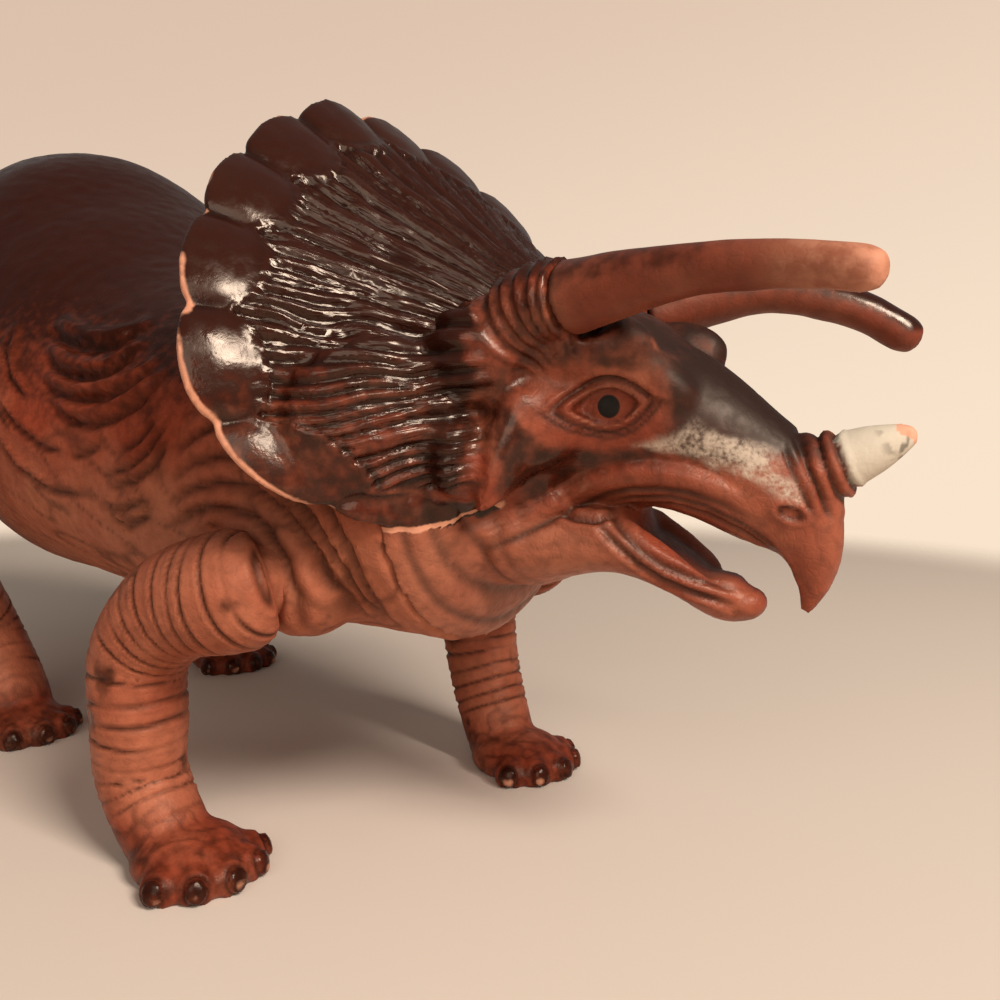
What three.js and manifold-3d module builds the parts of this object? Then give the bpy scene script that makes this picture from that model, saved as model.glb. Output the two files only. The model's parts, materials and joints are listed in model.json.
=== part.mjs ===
// Toy triceratops: a hollow vinyl torso with a plugged head, two plugged horns and four plugged legs.
// Millimetres, +X forward, +Y the animal's left, +Z up, soles on the plane Z = 0.
import * as THREE from 'three';
import Module from 'manifold-3d';
import { mergeVertices } from 'three/addons/utils/BufferGeometryUtils.js';

const wasm = await Module();
wasm.setup();

// Trunk: a shell from the neck seam to the tip of the tail
const trunkLength = 318;
const trunkHeight = 116;
const trunkWidth = 108;
const wall = 3;
const tailTipRadius = 2.6;

// Neck seam: where the head's plug turns in the trunk
const neckHeight = 79.2;
const neckForward = 26.2;
const neckOffset = 3.9;
const neckRadius = 32.9;
const neckTurnDegrees = 12;
const neckLeadShare = 0.25;
const throatLeadShare = 0.125;
const trunkFlare = 1.36;

// Head: its own frame stands on the brow, turned a little to the animal's left
const browHeight = 115.5;
const browForward = 42.5;
const browOffset = 8;
const headTurnDegrees = 20;
const snoutLength = 60;
const skullDepth = 40;
const skullWidth = 44;
const jawLength = 40;
const jawDrop = 14;
const jawWidth = 30;
const frillRadius = 57.5;
const frillSweep = 51;
const frillThickness = 2.3;
const frillRollDegrees = 12;
const frillTurnDegrees = -8;
const lobeDepth = 2.6;
const lobeSwell = 1.3;
const cheekSpikeLength = 20;
const collarRadius = 9.4;
const collarRingDepth = 0.7;
const noseHornLength = 12.2;
const noseHornRadius = 5;

// Horns: the shafts that plug into the collars on the brow
const hornLength = 51.5;
const hornRadius = 6.2;
const hornSpreadDegrees = 14;
const hornRiseShare = 0.1;
const hornPinRadius = 3.4;
const hornPinLength = 5.5;

// Legs
const shoulderHeight = 60;
const shoulderForward = 6;
const shoulderHalfSpan = 34;
const armRadius = 11.3;
const forearmRadius = 9.3;
const foreFootBack = 6;
const foreStride = 2.4;
const foreFootHalfSpan = 44;
const hipHeight = 90;
const hipBack = 152;
const hipHalfSpan = 49;
const thighRadius = 29;
const shinRadius = 12;
const hindFootHalfSpan = 40;
const hindFootBack = 133;
const hindStride = 13;
const footRadius = 12.4;
const footHeight = 10.5;
const toeRadius = 4.3;
const toeFanDegrees = 124;
const toeTurnDegrees = 8;
const soleCut = 0.8;

// Plug joints: a neck through the wall and a flange behind it
const clearance = 0.35;
const seatWall = 3;
const flangeThickness = 2.4;
const flangeOverlap = 2.6;
const plugWall = 2.4;
const neckBoreRadius = 25;
const shoulderBoreRadius = 7.2;
const hipBoreRadius = 12;
const shoulderSwell = 2.6;

// Counts of facets and repeated features
const trunkRings = 24;
const trunkSides = 28;
const cavityRings = 16;
const cavitySides = 14;
const limbRings = 10;
const legRings = 14;
const neckRings = 8;
const skullRings = 14;
const skullSides = 18;
const limbSides = 14;
const hornRings = 9;
const hornSides = 10;
const spikeRings = 4;
const toeRows = 5;
const toeSides = 7;
const ridgeRows = 7;
const ridgeSides = 10;
const lobesPerSide = 6;
const stepsPerLobe = 5;
const frillRows = 5;
const collarRings = 6;
const noseRings = 3;
const toeCount = 5;
const roundSides = 18;
const cutOverrun = 30;

const skinColour = 0x7a3a28;
const darkColour = 0x3a1c16;
const hornColour = 0x8a4a36;

const FORWARD = new THREE.Vector3(1, 0, 0);
const LEFT = new THREE.Vector3(0, 1, 0);
const UP = new THREE.Vector3(0, 0, 1);
const radians = THREE.MathUtils.degToRad;

// Solids

function volumeOf(geometry) {
  const position = geometry.attributes.position;
  const index = geometry.index;
  const a = new THREE.Vector3();
  const b = new THREE.Vector3();
  const c = new THREE.Vector3();
  let volume = 0;
  for (let i = 0; i < index.count; i += 3) {
    a.fromBufferAttribute(position, index.getX(i));
    b.fromBufferAttribute(position, index.getX(i + 1));
    c.fromBufferAttribute(position, index.getX(i + 2));
    volume += a.dot(b.cross(c)) / 6;
  }
  return volume;
}

function facingOut(geometry) {
  if (volumeOf(geometry) < 0) {
    const order = geometry.index.array;
    for (let i = 0; i < order.length; i += 3) {
      const first = order[i];
      order[i] = order[i + 1];
      order[i + 1] = first;
    }
  }
  return geometry;
}

function solidOf(geometry) {
  const bare = geometry.clone();
  bare.deleteAttribute('normal');
  bare.deleteAttribute('uv');
  const merged = facingOut(mergeVertices(bare));
  return new wasm.Manifold(new wasm.Mesh({
    numProp: 3,
    vertProperties: new Float32Array(merged.attributes.position.array),
    triVerts: new Uint32Array(merged.index.array),
  }));
}

function geometryOf(solid) {
  const mesh = solid.getMesh();
  const geometry = new THREE.BufferGeometry();
  geometry.setAttribute('position', new THREE.BufferAttribute(mesh.vertProperties, 3));
  geometry.setIndex(new THREE.BufferAttribute(mesh.triVerts, 1));
  geometry.computeVertexNormals();
  return geometry;
}

function joined(solids) {
  return solids.reduce((whole, solid) => whole.add(solid));
}

function without(solid, tools) {
  return tools.reduce((rest, tool) => rest.subtract(tool), solid);
}

// A closed skin over rings of points, with a flat fan on each end
function loft(rings) {
  const sides = rings[0].length;
  const positions = [];
  const order = [];
  rings.flat().forEach((point) => positions.push(point.x, point.y, point.z));
  for (let i = 0; i + 1 < rings.length; i += 1) {
    for (let j = 0; j < sides; j += 1) {
      const next = (j + 1) % sides;
      const near = i * sides;
      const far = near + sides;
      order.push(near + j, near + next, far + j);
      order.push(near + next, far + next, far + j);
    }
  }
  [0, rings.length - 1].forEach((at) => {
    const middle = new THREE.Vector3();
    rings[at].forEach((point) => middle.add(point));
    middle.divideScalar(sides);
    const hub = positions.length / 3;
    positions.push(middle.x, middle.y, middle.z);
    for (let j = 0; j < sides; j += 1) {
      const from = at * sides + j;
      const to = at * sides + ((j + 1) % sides);
      order.push(...(at === 0 ? [hub, to, from] : [hub, from, to]));
    }
  });
  const geometry = new THREE.BufferGeometry();
  geometry.setAttribute('position', new THREE.Float32BufferAttribute(positions, 3));
  geometry.setIndex(order);
  return geometry;
}

// One rounded section: half width and half height, squarer as its power grows past 2
function sectionRing(centre, side, up, size, sides) {
  const ring = [];
  for (let j = 0; j < sides; j += 1) {
    const angle = (j / sides) * 2 * Math.PI;
    const across = Math.cos(angle);
    const rise = Math.sin(angle);
    const u = Math.sign(across) * Math.abs(across) ** (2 / size.z);
    const v = Math.sign(rise) * Math.abs(rise) ** (2 / size.z);
    ring.push(centre.clone().addScaledVector(side, u * size.x).addScaledVector(up, v * size.y));
  }
  return ring;
}

// A limb: sections carried along a path. Sizes hold half width, half height and squareness. Each
// section lies square to the path, or to one normal, or stands upright, with its width along across.
function limb(path, sizes, rings, sides, options = {}) {
  const { across = LEFT, normal = null, upright = false, shrink = 0 } = options;
  const spine = new THREE.CatmullRomCurve3(path);
  const girth = new THREE.CatmullRomCurve3(sizes);
  const sections = [];
  for (let i = 0; i <= rings; i += 1) {
    const share = i / rings;
    const run = normal ?? spine.getTangent(share);
    if (upright) {
      run.setZ(0).normalize();
    }
    const up = new THREE.Vector3().crossVectors(run, across).normalize();
    const side = new THREE.Vector3().crossVectors(up, run);
    const size = girth.getPoint(share);
    size.x -= shrink;
    size.y -= shrink;
    sections.push(sectionRing(spine.getPoint(share), side, up, size, sides));
  }
  return solidOf(loft(sections));
}

// A turned form: its profile holds radius and height, its axis runs from the base along direction
function turned(profile, base, direction, sides = roundSides) {
  const geometry = new THREE.LatheGeometry(profile, sides);
  const turn = new THREE.Quaternion().setFromUnitVectors(new THREE.Vector3(0, 1, 0), direction);
  geometry.applyQuaternion(turn);
  geometry.translate(base.x, base.y, base.z);
  return solidOf(geometry);
}

function disc(radius, from, to, base, direction, sides = roundSides) {
  const profile = [
    new THREE.Vector2(0, from),
    new THREE.Vector2(radius, from),
    new THREE.Vector2(radius, to),
    new THREE.Vector2(0, to),
  ];
  return turned(profile, base, direction, sides);
}

function ball(centre, radii, turnUp = 0, sides = toeSides, rows = toeRows) {
  const geometry = new THREE.SphereGeometry(1, sides, rows);
  geometry.scale(radii.x, radii.y, radii.z);
  geometry.rotateZ(turnUp);
  geometry.translate(centre.x, centre.y, centre.z);
  return solidOf(geometry);
}

// A ring of ribs standing on a cone that runs from one radius to another
function ribbedCone(base, direction, length, radii, ribs, ribDepth) {
  const profile = [new THREE.Vector2(0, -radii.x / 2), new THREE.Vector2(radii.x / 2, -radii.x / 2)];
  const stepsPerRib = 2;
  const steps = ribs * stepsPerRib;
  for (let i = 0; i <= steps; i += 1) {
    const share = i / steps;
    const swell = Math.abs(Math.sin(Math.PI * ribs * share));
    const radius = THREE.MathUtils.lerp(radii.x, radii.y, share) + ribDepth * swell;
    profile.push(new THREE.Vector2(radius, share * length));
  }
  profile.push(new THREE.Vector2(0, length));
  return turned(profile, base, direction, roundSides);
}

// The male half of a plug joint: a neck through the seat and a flange behind it, both along -direction
function plug(boreRadius, base, direction) {
  const neck = boreRadius - 2 * clearance;
  const flange = boreRadius + flangeOverlap;
  const behind = -(seatWall + clearance);
  const end = behind - flangeThickness;
  const root = clearance + seatWall;
  const profile = [
    new THREE.Vector2(0, end),
    new THREE.Vector2(flange - flangeThickness / 2, end),
    new THREE.Vector2(flange, behind - flangeThickness / 2),
    new THREE.Vector2(flange, behind),
    new THREE.Vector2(neck, behind),
    new THREE.Vector2(neck, root),
    new THREE.Vector2(0, root),
  ];
  return turned(profile, base, direction);
}

// Places that both halves of each joint share
const neckTurn = radians(neckTurnDegrees);
const neckAxis = new THREE.Vector3(Math.cos(neckTurn), Math.sin(neckTurn), 0);
const neckSeat = new THREE.Vector3(neckForward, neckOffset, neckHeight);
const sideOf = { right: -1, left: 1 };

function shoulderSeat(hand) {
  return new THREE.Vector3(shoulderForward, hand * shoulderHalfSpan, shoulderHeight);
}

function hipSeat(hand) {
  return new THREE.Vector3(-hipBack, hand * hipHalfSpan, hipHeight);
}

function outward(hand) {
  return new THREE.Vector3(0, hand, 0);
}

// Trunk stations as shares: run back, side step, rise over the neck, half width, half height, squareness
const trunkStationShares = [
  [0.098, -0.6, -0.002, 0.338, 0.288, 1.15],
  [0.192, -1, 0.005, 0.398, 0.32, 1.12],
  [0.302, -1, 0.054, 0.463, 0.37, 1.05],
  [0.412, -1, 0.143, 0.5, 0.453, 1.02],
  [0.522, -1, 0.232, 0.5, 0.54, 1.02],
  [0.623, -1, 0.265, 0.449, 0.525, 1],
  [0.704, -1, 0.2, 0.35, 0.425, 1],
  [0.774, -1, 0.1, 0.252, 0.305, 1],
  [0.852, -1, 0.0, 0.163, 0.2, 1],
  [0.931, 0, -0.09, 0.09, 0.105, 1],
];

function trunkPath() {
  const inner = trunkStationShares.map(([run, step, rise]) => new THREE.Vector3(
    neckForward - run * trunkLength,
    neckOffset * (1 + step),
    neckHeight + rise * trunkHeight,
  ));
  const tipRiseShare = -0.2;
  const tipStepShare = 2.3;
  const tip = new THREE.Vector3(
    neckForward - trunkLength,
    neckOffset * tipStepShare,
    neckHeight + tipRiseShare * trunkHeight,
  );
  const lead = neckSeat.clone().addScaledVector(neckAxis, -neckRadius * neckLeadShare);
  return [neckSeat, lead, ...inner, tip];
}

function trunkSizes() {
  const inner = trunkStationShares.map(([, , , width, height, square]) => new THREE.Vector3(
    width * trunkWidth,
    height * trunkHeight,
    2 * square,
  ));
  const seam = new THREE.Vector3(neckRadius, neckRadius, 2);
  return [seam, seam.clone(), ...inner, new THREE.Vector3(tailTipRadius, tailTipRadius, 2)];
}

// The skin swells round each shoulder, like a collar that the foreleg comes out of
function shoulderCollar(hand) {
  const rim = armRadius + shoulderSwell;
  const root = shoulderSwell * 2;
  const profile = [
    new THREE.Vector2(0, -root),
    new THREE.Vector2(rim, -root),
    new THREE.Vector2(rim, -shoulderSwell),
    new THREE.Vector2(rim - shoulderSwell / 3, -shoulderSwell / 3),
    new THREE.Vector2(armRadius + clearance, 0),
    new THREE.Vector2(0, 0),
  ];
  return turned(profile, shoulderSeat(hand), outward(hand));
}

// A round boss under each thigh, so that the hip seat is whole where the trunk curves away
function hipBoss(hand) {
  return disc(hipBoreRadius + 2 * seatWall, -seatWall * boreWalls, 0, hipSeat(hand), outward(hand));
}

function seatDisc(radius, seat, direction) {
  return disc(radius, -seatWall, 0, seat, direction);
}

// Room in front of a seat for the root of the limb that turns there
const armSweepShare = 1.85;

function seatDish(radius, seat, direction) {
  return disc(radius + 2 * clearance, 0, cutOverrun, seat, direction);
}

// Room behind a seat for the flange that turns there, its depth in walls
const pocketWalls = 7;
const boreWalls = 4;

function flangePocket(boreRadius, seat, direction) {
  const radius = boreRadius + flangeOverlap + 2 * clearance;
  return disc(radius, -seatWall * pocketWalls, -seatWall, seat, direction);
}

// The tail is solid behind this station
const tailRoot = 9;

function trunkCavity() {
  const path = trunkPath();
  const sizes = trunkSizes();
  return limb(path.slice(0, tailRoot), sizes.slice(0, tailRoot), cavityRings, cavitySides, {
    upright: true,
    shrink: wall,
  });
}

function buildTrunk() {
  const hands = Object.values(sideOf);
  const outer = joined([
    limb(trunkPath(), trunkSizes(), trunkRings, trunkSides, { upright: true }),
    ...hands.map(shoulderCollar),
    ...hands.map(hipBoss),
  ]);
  const dishes = hands.flatMap((hand) => [
    seatDish(armSweepShare * armRadius, shoulderSeat(hand), outward(hand)),
    seatDish(thighRadius, hipSeat(hand), outward(hand)),
  ]);
  const body = without(outer, dishes);
  const shoulderDiscRadius = shoulderBoreRadius + flangeOverlap + seatWall;
  const hipDiscRadius = thighRadius + wall;
  const seats = hands.flatMap((hand) => [
    seatDisc(shoulderDiscRadius, shoulderSeat(hand), outward(hand)),
    seatDisc(hipDiscRadius, hipSeat(hand), outward(hand)),
  ]);
  seats.push(seatDisc(neckRadius, neckSeat, neckAxis));
  const pockets = hands.flatMap((hand) => [
    flangePocket(shoulderBoreRadius, shoulderSeat(hand), outward(hand)),
    flangePocket(hipBoreRadius, hipSeat(hand), outward(hand)),
  ]);
  const shell = without(body, [trunkCavity(), ...pockets]);
  const walls = seats.map((seat) => seat.intersect(body));
  const bores = hands.flatMap((hand) => [
    disc(shoulderBoreRadius, -seatWall * boreWalls, cutOverrun, shoulderSeat(hand), outward(hand)),
    disc(hipBoreRadius, -seatWall * boreWalls, cutOverrun, hipSeat(hand), outward(hand)),
  ]);
  bores.push(disc(neckBoreRadius, -seatWall * boreWalls, cutOverrun, neckSeat, neckAxis));
  return without(joined([shell, ...walls]), bores);
}

// Head parts, in the head's own frame: the brow between the horns is its origin

const headFrame = new THREE.Matrix4()
  .makeRotationZ(radians(headTurnDegrees))
  .setPosition(browForward, browOffset, browHeight);
const toHead = headFrame.clone().invert();
const neckSeatInHead = neckSeat.clone().applyMatrix4(toHead);
const neckAxisInHead = neckAxis.clone().transformDirection(toHead);

// Snout stations as shares: reach, drop, half width, half height
const snoutStationShares = [
  [-0.2, 0.6, 0.5, 0.5],
  [0.133, 0.575, 0.42, 0.45],
  [0.367, 0.65, 0.355, 0.375],
  [0.567, 0.8, 0.26, 0.295],
  [0.717, 0.9625, 0.185, 0.25],
  [0.795, 1.14, 0.112, 0.145],
  [0.808, 1.3, 0.066, 0.078],
  [0.786, 1.44, 0.022, 0.022],
];

function skull() {
  const path = snoutStationShares.map(([reach, drop]) => new THREE.Vector3(
    reach * snoutLength,
    0,
    -drop * skullDepth,
  ));
  const sizes = snoutStationShares.map(([, , width, height]) => new THREE.Vector3(
    width * skullWidth,
    height * skullDepth,
    2.2,
  ));
  return limb(path, sizes, skullRings, skullSides);
}

// Jaw stations as shares: reach, drop below the mouth corner, half width, half height
const jawStationShares = [
  [-0.05, 0.5, 0.5, 0.62],
  [0.35, 0.46, 0.45, 0.45],
  [0.62, 0.75, 0.34, 0.36],
  [0.85, 1.16, 0.19, 0.3],
  [0.98, 1.27, 0.06, 0.16],
];

function jaw() {
  const cornerDrop = skullDepth;
  const path = jawStationShares.map(([reach, drop]) => new THREE.Vector3(
    reach * jawLength,
    0,
    -cornerDrop - drop * jawDrop,
  ));
  const sizes = jawStationShares.map(([, , width, height]) => new THREE.Vector3(
    width * jawWidth,
    height * jawDrop,
    2.4,
  ));
  return limb(path, sizes, limbRings, limbSides);
}

// The neck runs from the seam into the back of the skull
function neckPath() {
  const start = neckSeatInHead.clone().addScaledVector(neckAxisInHead, clearance);
  const lead = start.clone().addScaledVector(neckAxisInHead, neckRadius * throatLeadShare);
  return [
    start,
    lead,
    new THREE.Vector3(-0.07 * snoutLength, 0, -0.79 * skullDepth),
    new THREE.Vector3(0.13 * snoutLength, 0, -0.73 * skullDepth),
  ];
}

function neckSizes() {
  const seam = new THREE.Vector3(neckRadius, neckRadius, 2);
  const lead = new THREE.Vector3(0.93 * neckRadius, 0.86 * neckRadius, 2);
  const throat = new THREE.Vector3(0.53 * skullWidth, 0.5 * skullDepth, 2);
  const cheek = new THREE.Vector3(0.38 * skullWidth, 0.42 * skullDepth, 2);
  return [seam, lead, throat, cheek];
}

// Frill rim as shares: angle of the half fan, radius, sweep back
const frillRimShares = [
  [0, 0.97, 1],
  [0.18, 0.95, 0.99],
  [0.32, 0.97, 0.93],
  [0.445, 1.01, 0.85],
  [0.57, 1.06, 0.75],
  [0.67, 1.065, 0.68],
  [0.78, 0.99, 0.52],
  [0.885, 0.85, 0.35],
  [0.96, 0.7, 0.17],
  [1, 0.6, 0.08],
];
const fanDegrees = 127;
const fanHubDropShare = 0.375;
const fanRootShare = 0.2;
const dishShare = 0.82;

// Frill sheet: extra thickness at its root, how far its faces lean back and out, and its lobes' roundness
const frillRootSwell = 1.6;
const frillLean = { back: 0.66, out: 0.5 };
const lobeRoundness = 0.6;
const lobeFade = 4;

function rimAt(share) {
  const curve = new THREE.CatmullRomCurve3(
    frillRimShares.map(([angle, radius, sweep]) => new THREE.Vector3(angle, radius, sweep)),
  );
  let low = 0;
  let high = 1;
  while (high - low > 0.001) {
    const middle = (low + high) / 2;
    if (curve.getPoint(middle).x < share) {
      low = middle;
    } else {
      high = middle;
    }
  }
  return curve.getPoint(high);
}

function frill() {
  const lobes = 2 * lobesPerSide + 1;
  const stations = lobes * stepsPerLobe;
  const hub = -fanHubDropShare * skullDepth;
  const fan = radians(fanDegrees);
  const rings = [];
  for (let i = 0; i <= stations; i += 1) {
    const share = (2 * i) / stations - 1;
    const angle = share * fan;
    const rim = rimAt(Math.abs(share));
    const lobe = Math.abs(Math.sin((Math.PI * i) / stepsPerLobe)) ** lobeRoundness;
    const edge = rim.y * frillRadius - lobeDepth * (1 - lobe);
    const root = fanRootShare * frillRadius;
    const front = [];
    const back = [];
    for (let k = 0; k < frillRows; k += 1) {
      const out = k / (frillRows - 1);
      const radius = THREE.MathUtils.lerp(root, edge, out);
      const sweep = -rim.z * frillSweep * out ** dishShare;
      const swell = lobeSwell * lobe * out ** lobeFade;
      const depth = frillThickness * (1 + frillRootSwell * (1 - out)) + swell;
      const place = (offset) => new THREE.Vector3(
        sweep + offset * frillLean.back,
        Math.sin(angle) * (radius + offset * frillLean.out),
        hub + Math.cos(angle) * (radius + offset * frillLean.out),
      );
      front.push(place(depth / 2));
      back.unshift(place(-depth / 2));
    }
    rings.push([...front, ...back]);
  }
  const geometry = loft(rings);
  geometry.rotateX(radians(frillRollDegrees));
  geometry.rotateZ(radians(frillTurnDegrees));
  return solidOf(geometry);
}

// Brow horns: one root, direction and set of sizes for collar, socket and shaft
const hornRootShares = { reach: 0.19, side: 0.5, drop: 0.11 };

function hornSeat(hand) {
  return new THREE.Vector3(
    hornRootShares.reach * snoutLength,
    hand * hornRootShares.side * skullWidth,
    -hornRootShares.drop * skullDepth,
  );
}

function hornDirection(hand) {
  return new THREE.Vector3(1, hand * Math.tan(radians(hornSpreadDegrees)), hornRiseShare).normalize();
}

const browCollarShare = 1.5;
const collarFaceShare = 1.2;

function browCollar(hand) {
  const length = collarRadius * browCollarShare;
  const base = hornSeat(hand).addScaledVector(hornDirection(hand), -length);
  const radii = new THREE.Vector2(collarRadius, hornRadius + collarRingDepth);
  return ribbedCone(base, hornDirection(hand), length, radii, collarRings, collarRingDepth);
}

function hornSocket(hand) {
  const depth = -(hornPinLength + 2 * clearance);
  return disc(hornPinRadius + clearance, depth, cutOverrun, hornSeat(hand), hornDirection(hand));
}

// Swellings of the skull, as shares: the ridge over the eye, the forehead between the collars, and
// the nape, where the right half of the turned frill comes down to the neck
const ridgeShares = { reach: 0.3, side: 0.34, drop: 0.28, long: 0.2, wide: 0.13, tall: 0.19 };
const foreheadShares = { reach: 0.12, side: 0, drop: 0.42, long: 0.33, wide: 0.42, tall: 0.34 };
const napeShares = { reach: -0.317, side: 0.614, drop: 0.675, long: 0.1, wide: 0.205, tall: 0.4 };
const ridgeTurn = 0.25;

function swelling(at, hand = 1, turn = 0) {
  const centre = new THREE.Vector3(
    at.reach * snoutLength,
    hand * at.side * skullWidth,
    -at.drop * skullDepth,
  );
  const radii = new THREE.Vector3(
    at.long * snoutLength,
    at.wide * skullWidth,
    at.tall * skullDepth,
  );
  return ball(centre, radii, -hand * turn, ridgeSides, ridgeRows);
}

// Cheek spike: a blunt pyramid that hangs out and down below the frill's lower corner
const cheekRootShares = { reach: 0.03, side: 0.36, drop: 0.6 };
const cheekGirthShares = [[0, 0.5, 0.3], [0.45, 0.36, 0.22], [0.8, 0.19, 0.13], [1, 0.05, 0.05]];
const cheekDirection = new THREE.Vector3(-0.25, 0.55, -0.8).normalize();

function cheekSpike(hand) {
  const root = new THREE.Vector3(
    cheekRootShares.reach * snoutLength,
    hand * cheekRootShares.side * skullWidth,
    -cheekRootShares.drop * skullDepth,
  );
  const direction = cheekDirection.clone();
  direction.y *= hand;
  const path = cheekGirthShares.map(([share]) => root.clone()
    .addScaledVector(direction, share * cheekSpikeLength));
  const sizes = cheekGirthShares.map(([, width, height]) => new THREE.Vector3(
    width * cheekSpikeLength,
    height * cheekSpikeLength,
    2,
  ));
  return limb(path, sizes, spikeRings, hornSides);
}

// Nose horn: three collar rings and a cone, its profile as shares of radius and length
const noseRootShares = { reach: 0.76, drop: 0.86 };
const noseProfileShares = [[0, 0], [1, 0], [0.8, 0.45], [0.48, 0.82], [0.28, 0.97], [0, 1]];
const noseCollarShare = 1.6;
const noseCollarSwell = 1.25;
const noseDirection = new THREE.Vector3(0.88, 0, 0.4).normalize();

function noseHorn() {
  const base = new THREE.Vector3(
    noseRootShares.reach * snoutLength,
    0,
    -noseRootShares.drop * skullDepth,
  );
  const collar = noseHornRadius * noseCollarShare;
  const radii = new THREE.Vector2(noseHornRadius * noseCollarSwell, noseHornRadius);
  const ribs = ribbedCone(base, noseDirection, collar, radii, noseRings, collarRingDepth);
  const profile = noseProfileShares.map(([radius, height]) => new THREE.Vector2(
    radius * noseHornRadius,
    height * noseHornLength,
  ));
  const tip = base.clone().addScaledVector(noseDirection, collar);
  return ribs.add(turned(profile, tip, noseDirection, roundSides));
}

// The hollow of the head opens through the plug into the trunk
function headCavity() {
  const start = neckSeatInHead.clone()
    .addScaledVector(neckAxisInHead, -(seatWall + flangeThickness + 3 * clearance));
  const bore = neckBoreRadius - 2 * clearance - plugWall;
  const path = [start, ...neckPath().slice(1)];
  const sizes = neckSizes().map((size) => new THREE.Vector3(size.x - wall, size.y - wall, size.z));
  sizes[0].set(bore, bore, 2);
  sizes[1].set(Math.min(bore, sizes[1].x), Math.min(bore, sizes[1].y), 2);
  return limb(path, sizes, cavityRings, cavitySides, { normal: neckAxisInHead });
}

// Room that the head leaves round the trunk, so that it can swivel: a cone behind the seam
function trunkRoom() {
  const gap = clearance;
  const profile = [
    new THREE.Vector2(0, -neckRadius * 2),
    new THREE.Vector2(neckRadius * trunkFlare + gap, -neckRadius * 2),
    new THREE.Vector2(neckRadius + gap, 0),
    new THREE.Vector2(neckRadius + gap, clearance),
    new THREE.Vector2(0, clearance),
  ];
  return turned(profile, neckSeatInHead, neckAxisInHead, trunkSides);
}

function buildHead() {
  const hands = Object.values(sideOf);
  const neck = limb(neckPath(), neckSizes(), neckRings, trunkSides, {
    normal: neckAxisInHead,
  });
  const mask = joined([
    skull(),
    jaw(),
    frill(),
    noseHorn(),
    swelling(foreheadShares),
    swelling(napeShares, sideOf.right),
    ...hands.flatMap((hand) => [
      browCollar(hand),
      swelling(ridgeShares, hand, ridgeTurn),
      cheekSpike(hand),
    ]),
  ]);
  const outer = joined([
    neck,
    mask.subtract(trunkRoom()),
    plug(neckBoreRadius, neckSeatInHead, neckAxisInHead),
  ]);
  const faces = hands.map((hand) => disc(
    collarRadius * collarFaceShare,
    0,
    collarRadius,
    hornSeat(hand),
    hornDirection(hand),
  ));
  return without(outer, [headCavity(), ...faces, ...hands.map(hornSocket)]);
}

// Horn shafts; the left one has sagged more than the right one. Stations as shares: length, girth
const hornBend = 2.6;
const hornDroopShares = { right: 0.11, left: 0.21 };
const hornStationShares = [[0, 1], [0.25, 0.86], [0.55, 0.66], [0.82, 0.54], [0.96, 0.46], [1, 0.3]];

function buildHorn(name) {
  const hand = sideOf[name];
  const direction = hornDirection(hand);
  const seat = hornSeat(hand).addScaledVector(direction, clearance);
  const droop = hornDroopShares[name] * hornLength;
  const path = hornStationShares.map(([share]) => seat.clone()
    .addScaledVector(direction, share * hornLength)
    .addScaledVector(UP, -droop * share ** hornBend));
  const sizes = hornStationShares.map(([, girth]) => new THREE.Vector3(
    girth * hornRadius,
    girth * hornRadius,
    2,
  ));
  const shaft = limb(path, sizes, hornRings, hornSides);
  const pin = disc(hornPinRadius, -hornPinLength, 2 * clearance, seat, direction, hornSides);
  return shaft.add(pin);
}

// Legs

// A foot: a pad on the floor with its toes fanned round the front. Shares of its height, of its size
// and of a toe's radius
const padShares = { lift: 0.42, thick: 0.62, wide: 0.95 };
const toeShares = { reach: 0.86, spread: 0.9, lift: 0.75, long: 1.25 };

function foot(centre, size) {
  const pad = ball(
    new THREE.Vector3(centre.x, centre.y, centre.z + footHeight * padShares.lift),
    new THREE.Vector3(size, size * padShares.wide, footHeight * padShares.thick),
  );
  const toes = [];
  for (let i = 0; i < toeCount; i += 1) {
    const angle = radians(toeTurnDegrees + toeFanDegrees * (i / (toeCount - 1) - 0.5));
    toes.push(ball(
      new THREE.Vector3(
        centre.x + Math.cos(angle) * size * toeShares.reach,
        centre.y + Math.sin(angle) * size * toeShares.spread,
        centre.z + toeRadius * toeShares.lift,
      ),
      new THREE.Vector3(toeRadius * toeShares.long, toeRadius, toeRadius),
      angle,
    ));
  }
  return joined([pad, ...toes]);
}

function levelled(leg) {
  const reach = 4 * trunkHeight;
  const ground = new THREE.BoxGeometry(reach, reach, reach);
  ground.translate(-hipBack / 2, 0, -reach / 2);
  return leg.subtract(solidOf(ground));
}

// Takes the hollow out of a leg: it follows the limb to the ankle and opens through the plug
const inboardShare = 2;

function hollowed(leg, path, sizes, joint) {
  const { boreRadius, seat, direction } = joint;
  const inner = limb(path.slice(0, -1), sizes.slice(0, -1), legRings, limbSides, {
    across: FORWARD,
    shrink: wall,
  });
  const floor = disc(cutOverrun, -cutOverrun, clearance + seatWall, seat, direction);
  const mouth = disc(boreRadius - 2 * clearance - plugWall, -cutOverrun, seatWall * 2, seat, direction);
  return without(leg, [inner.subtract(floor), mouth]);
}

// Upper arm stations as shares: back from the shoulder, out from it, height, half width, half depth
const upperArmShares = [
  [0.28, 1, 0.9, 0.98, 0.96],
  [0.45, 1.33, 0.72, 0.86, 0.88],
  [0.46, 1.36, 0.5, 0.86, 0.86],
];

// Forearm stations as shares: back from the foot, out from it, height, half width, half depth
const forearmShares = [
  [0.24, 0.3, 0.3, 1, 1],
  [0.14, 0.15, 0.12, 0.95, 0.95],
  [0.07, 0, 0.02, 0.85, 0.9],
];
const rootShares = { back: 0.03, out: 0.07, drop: 0.02 };

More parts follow.
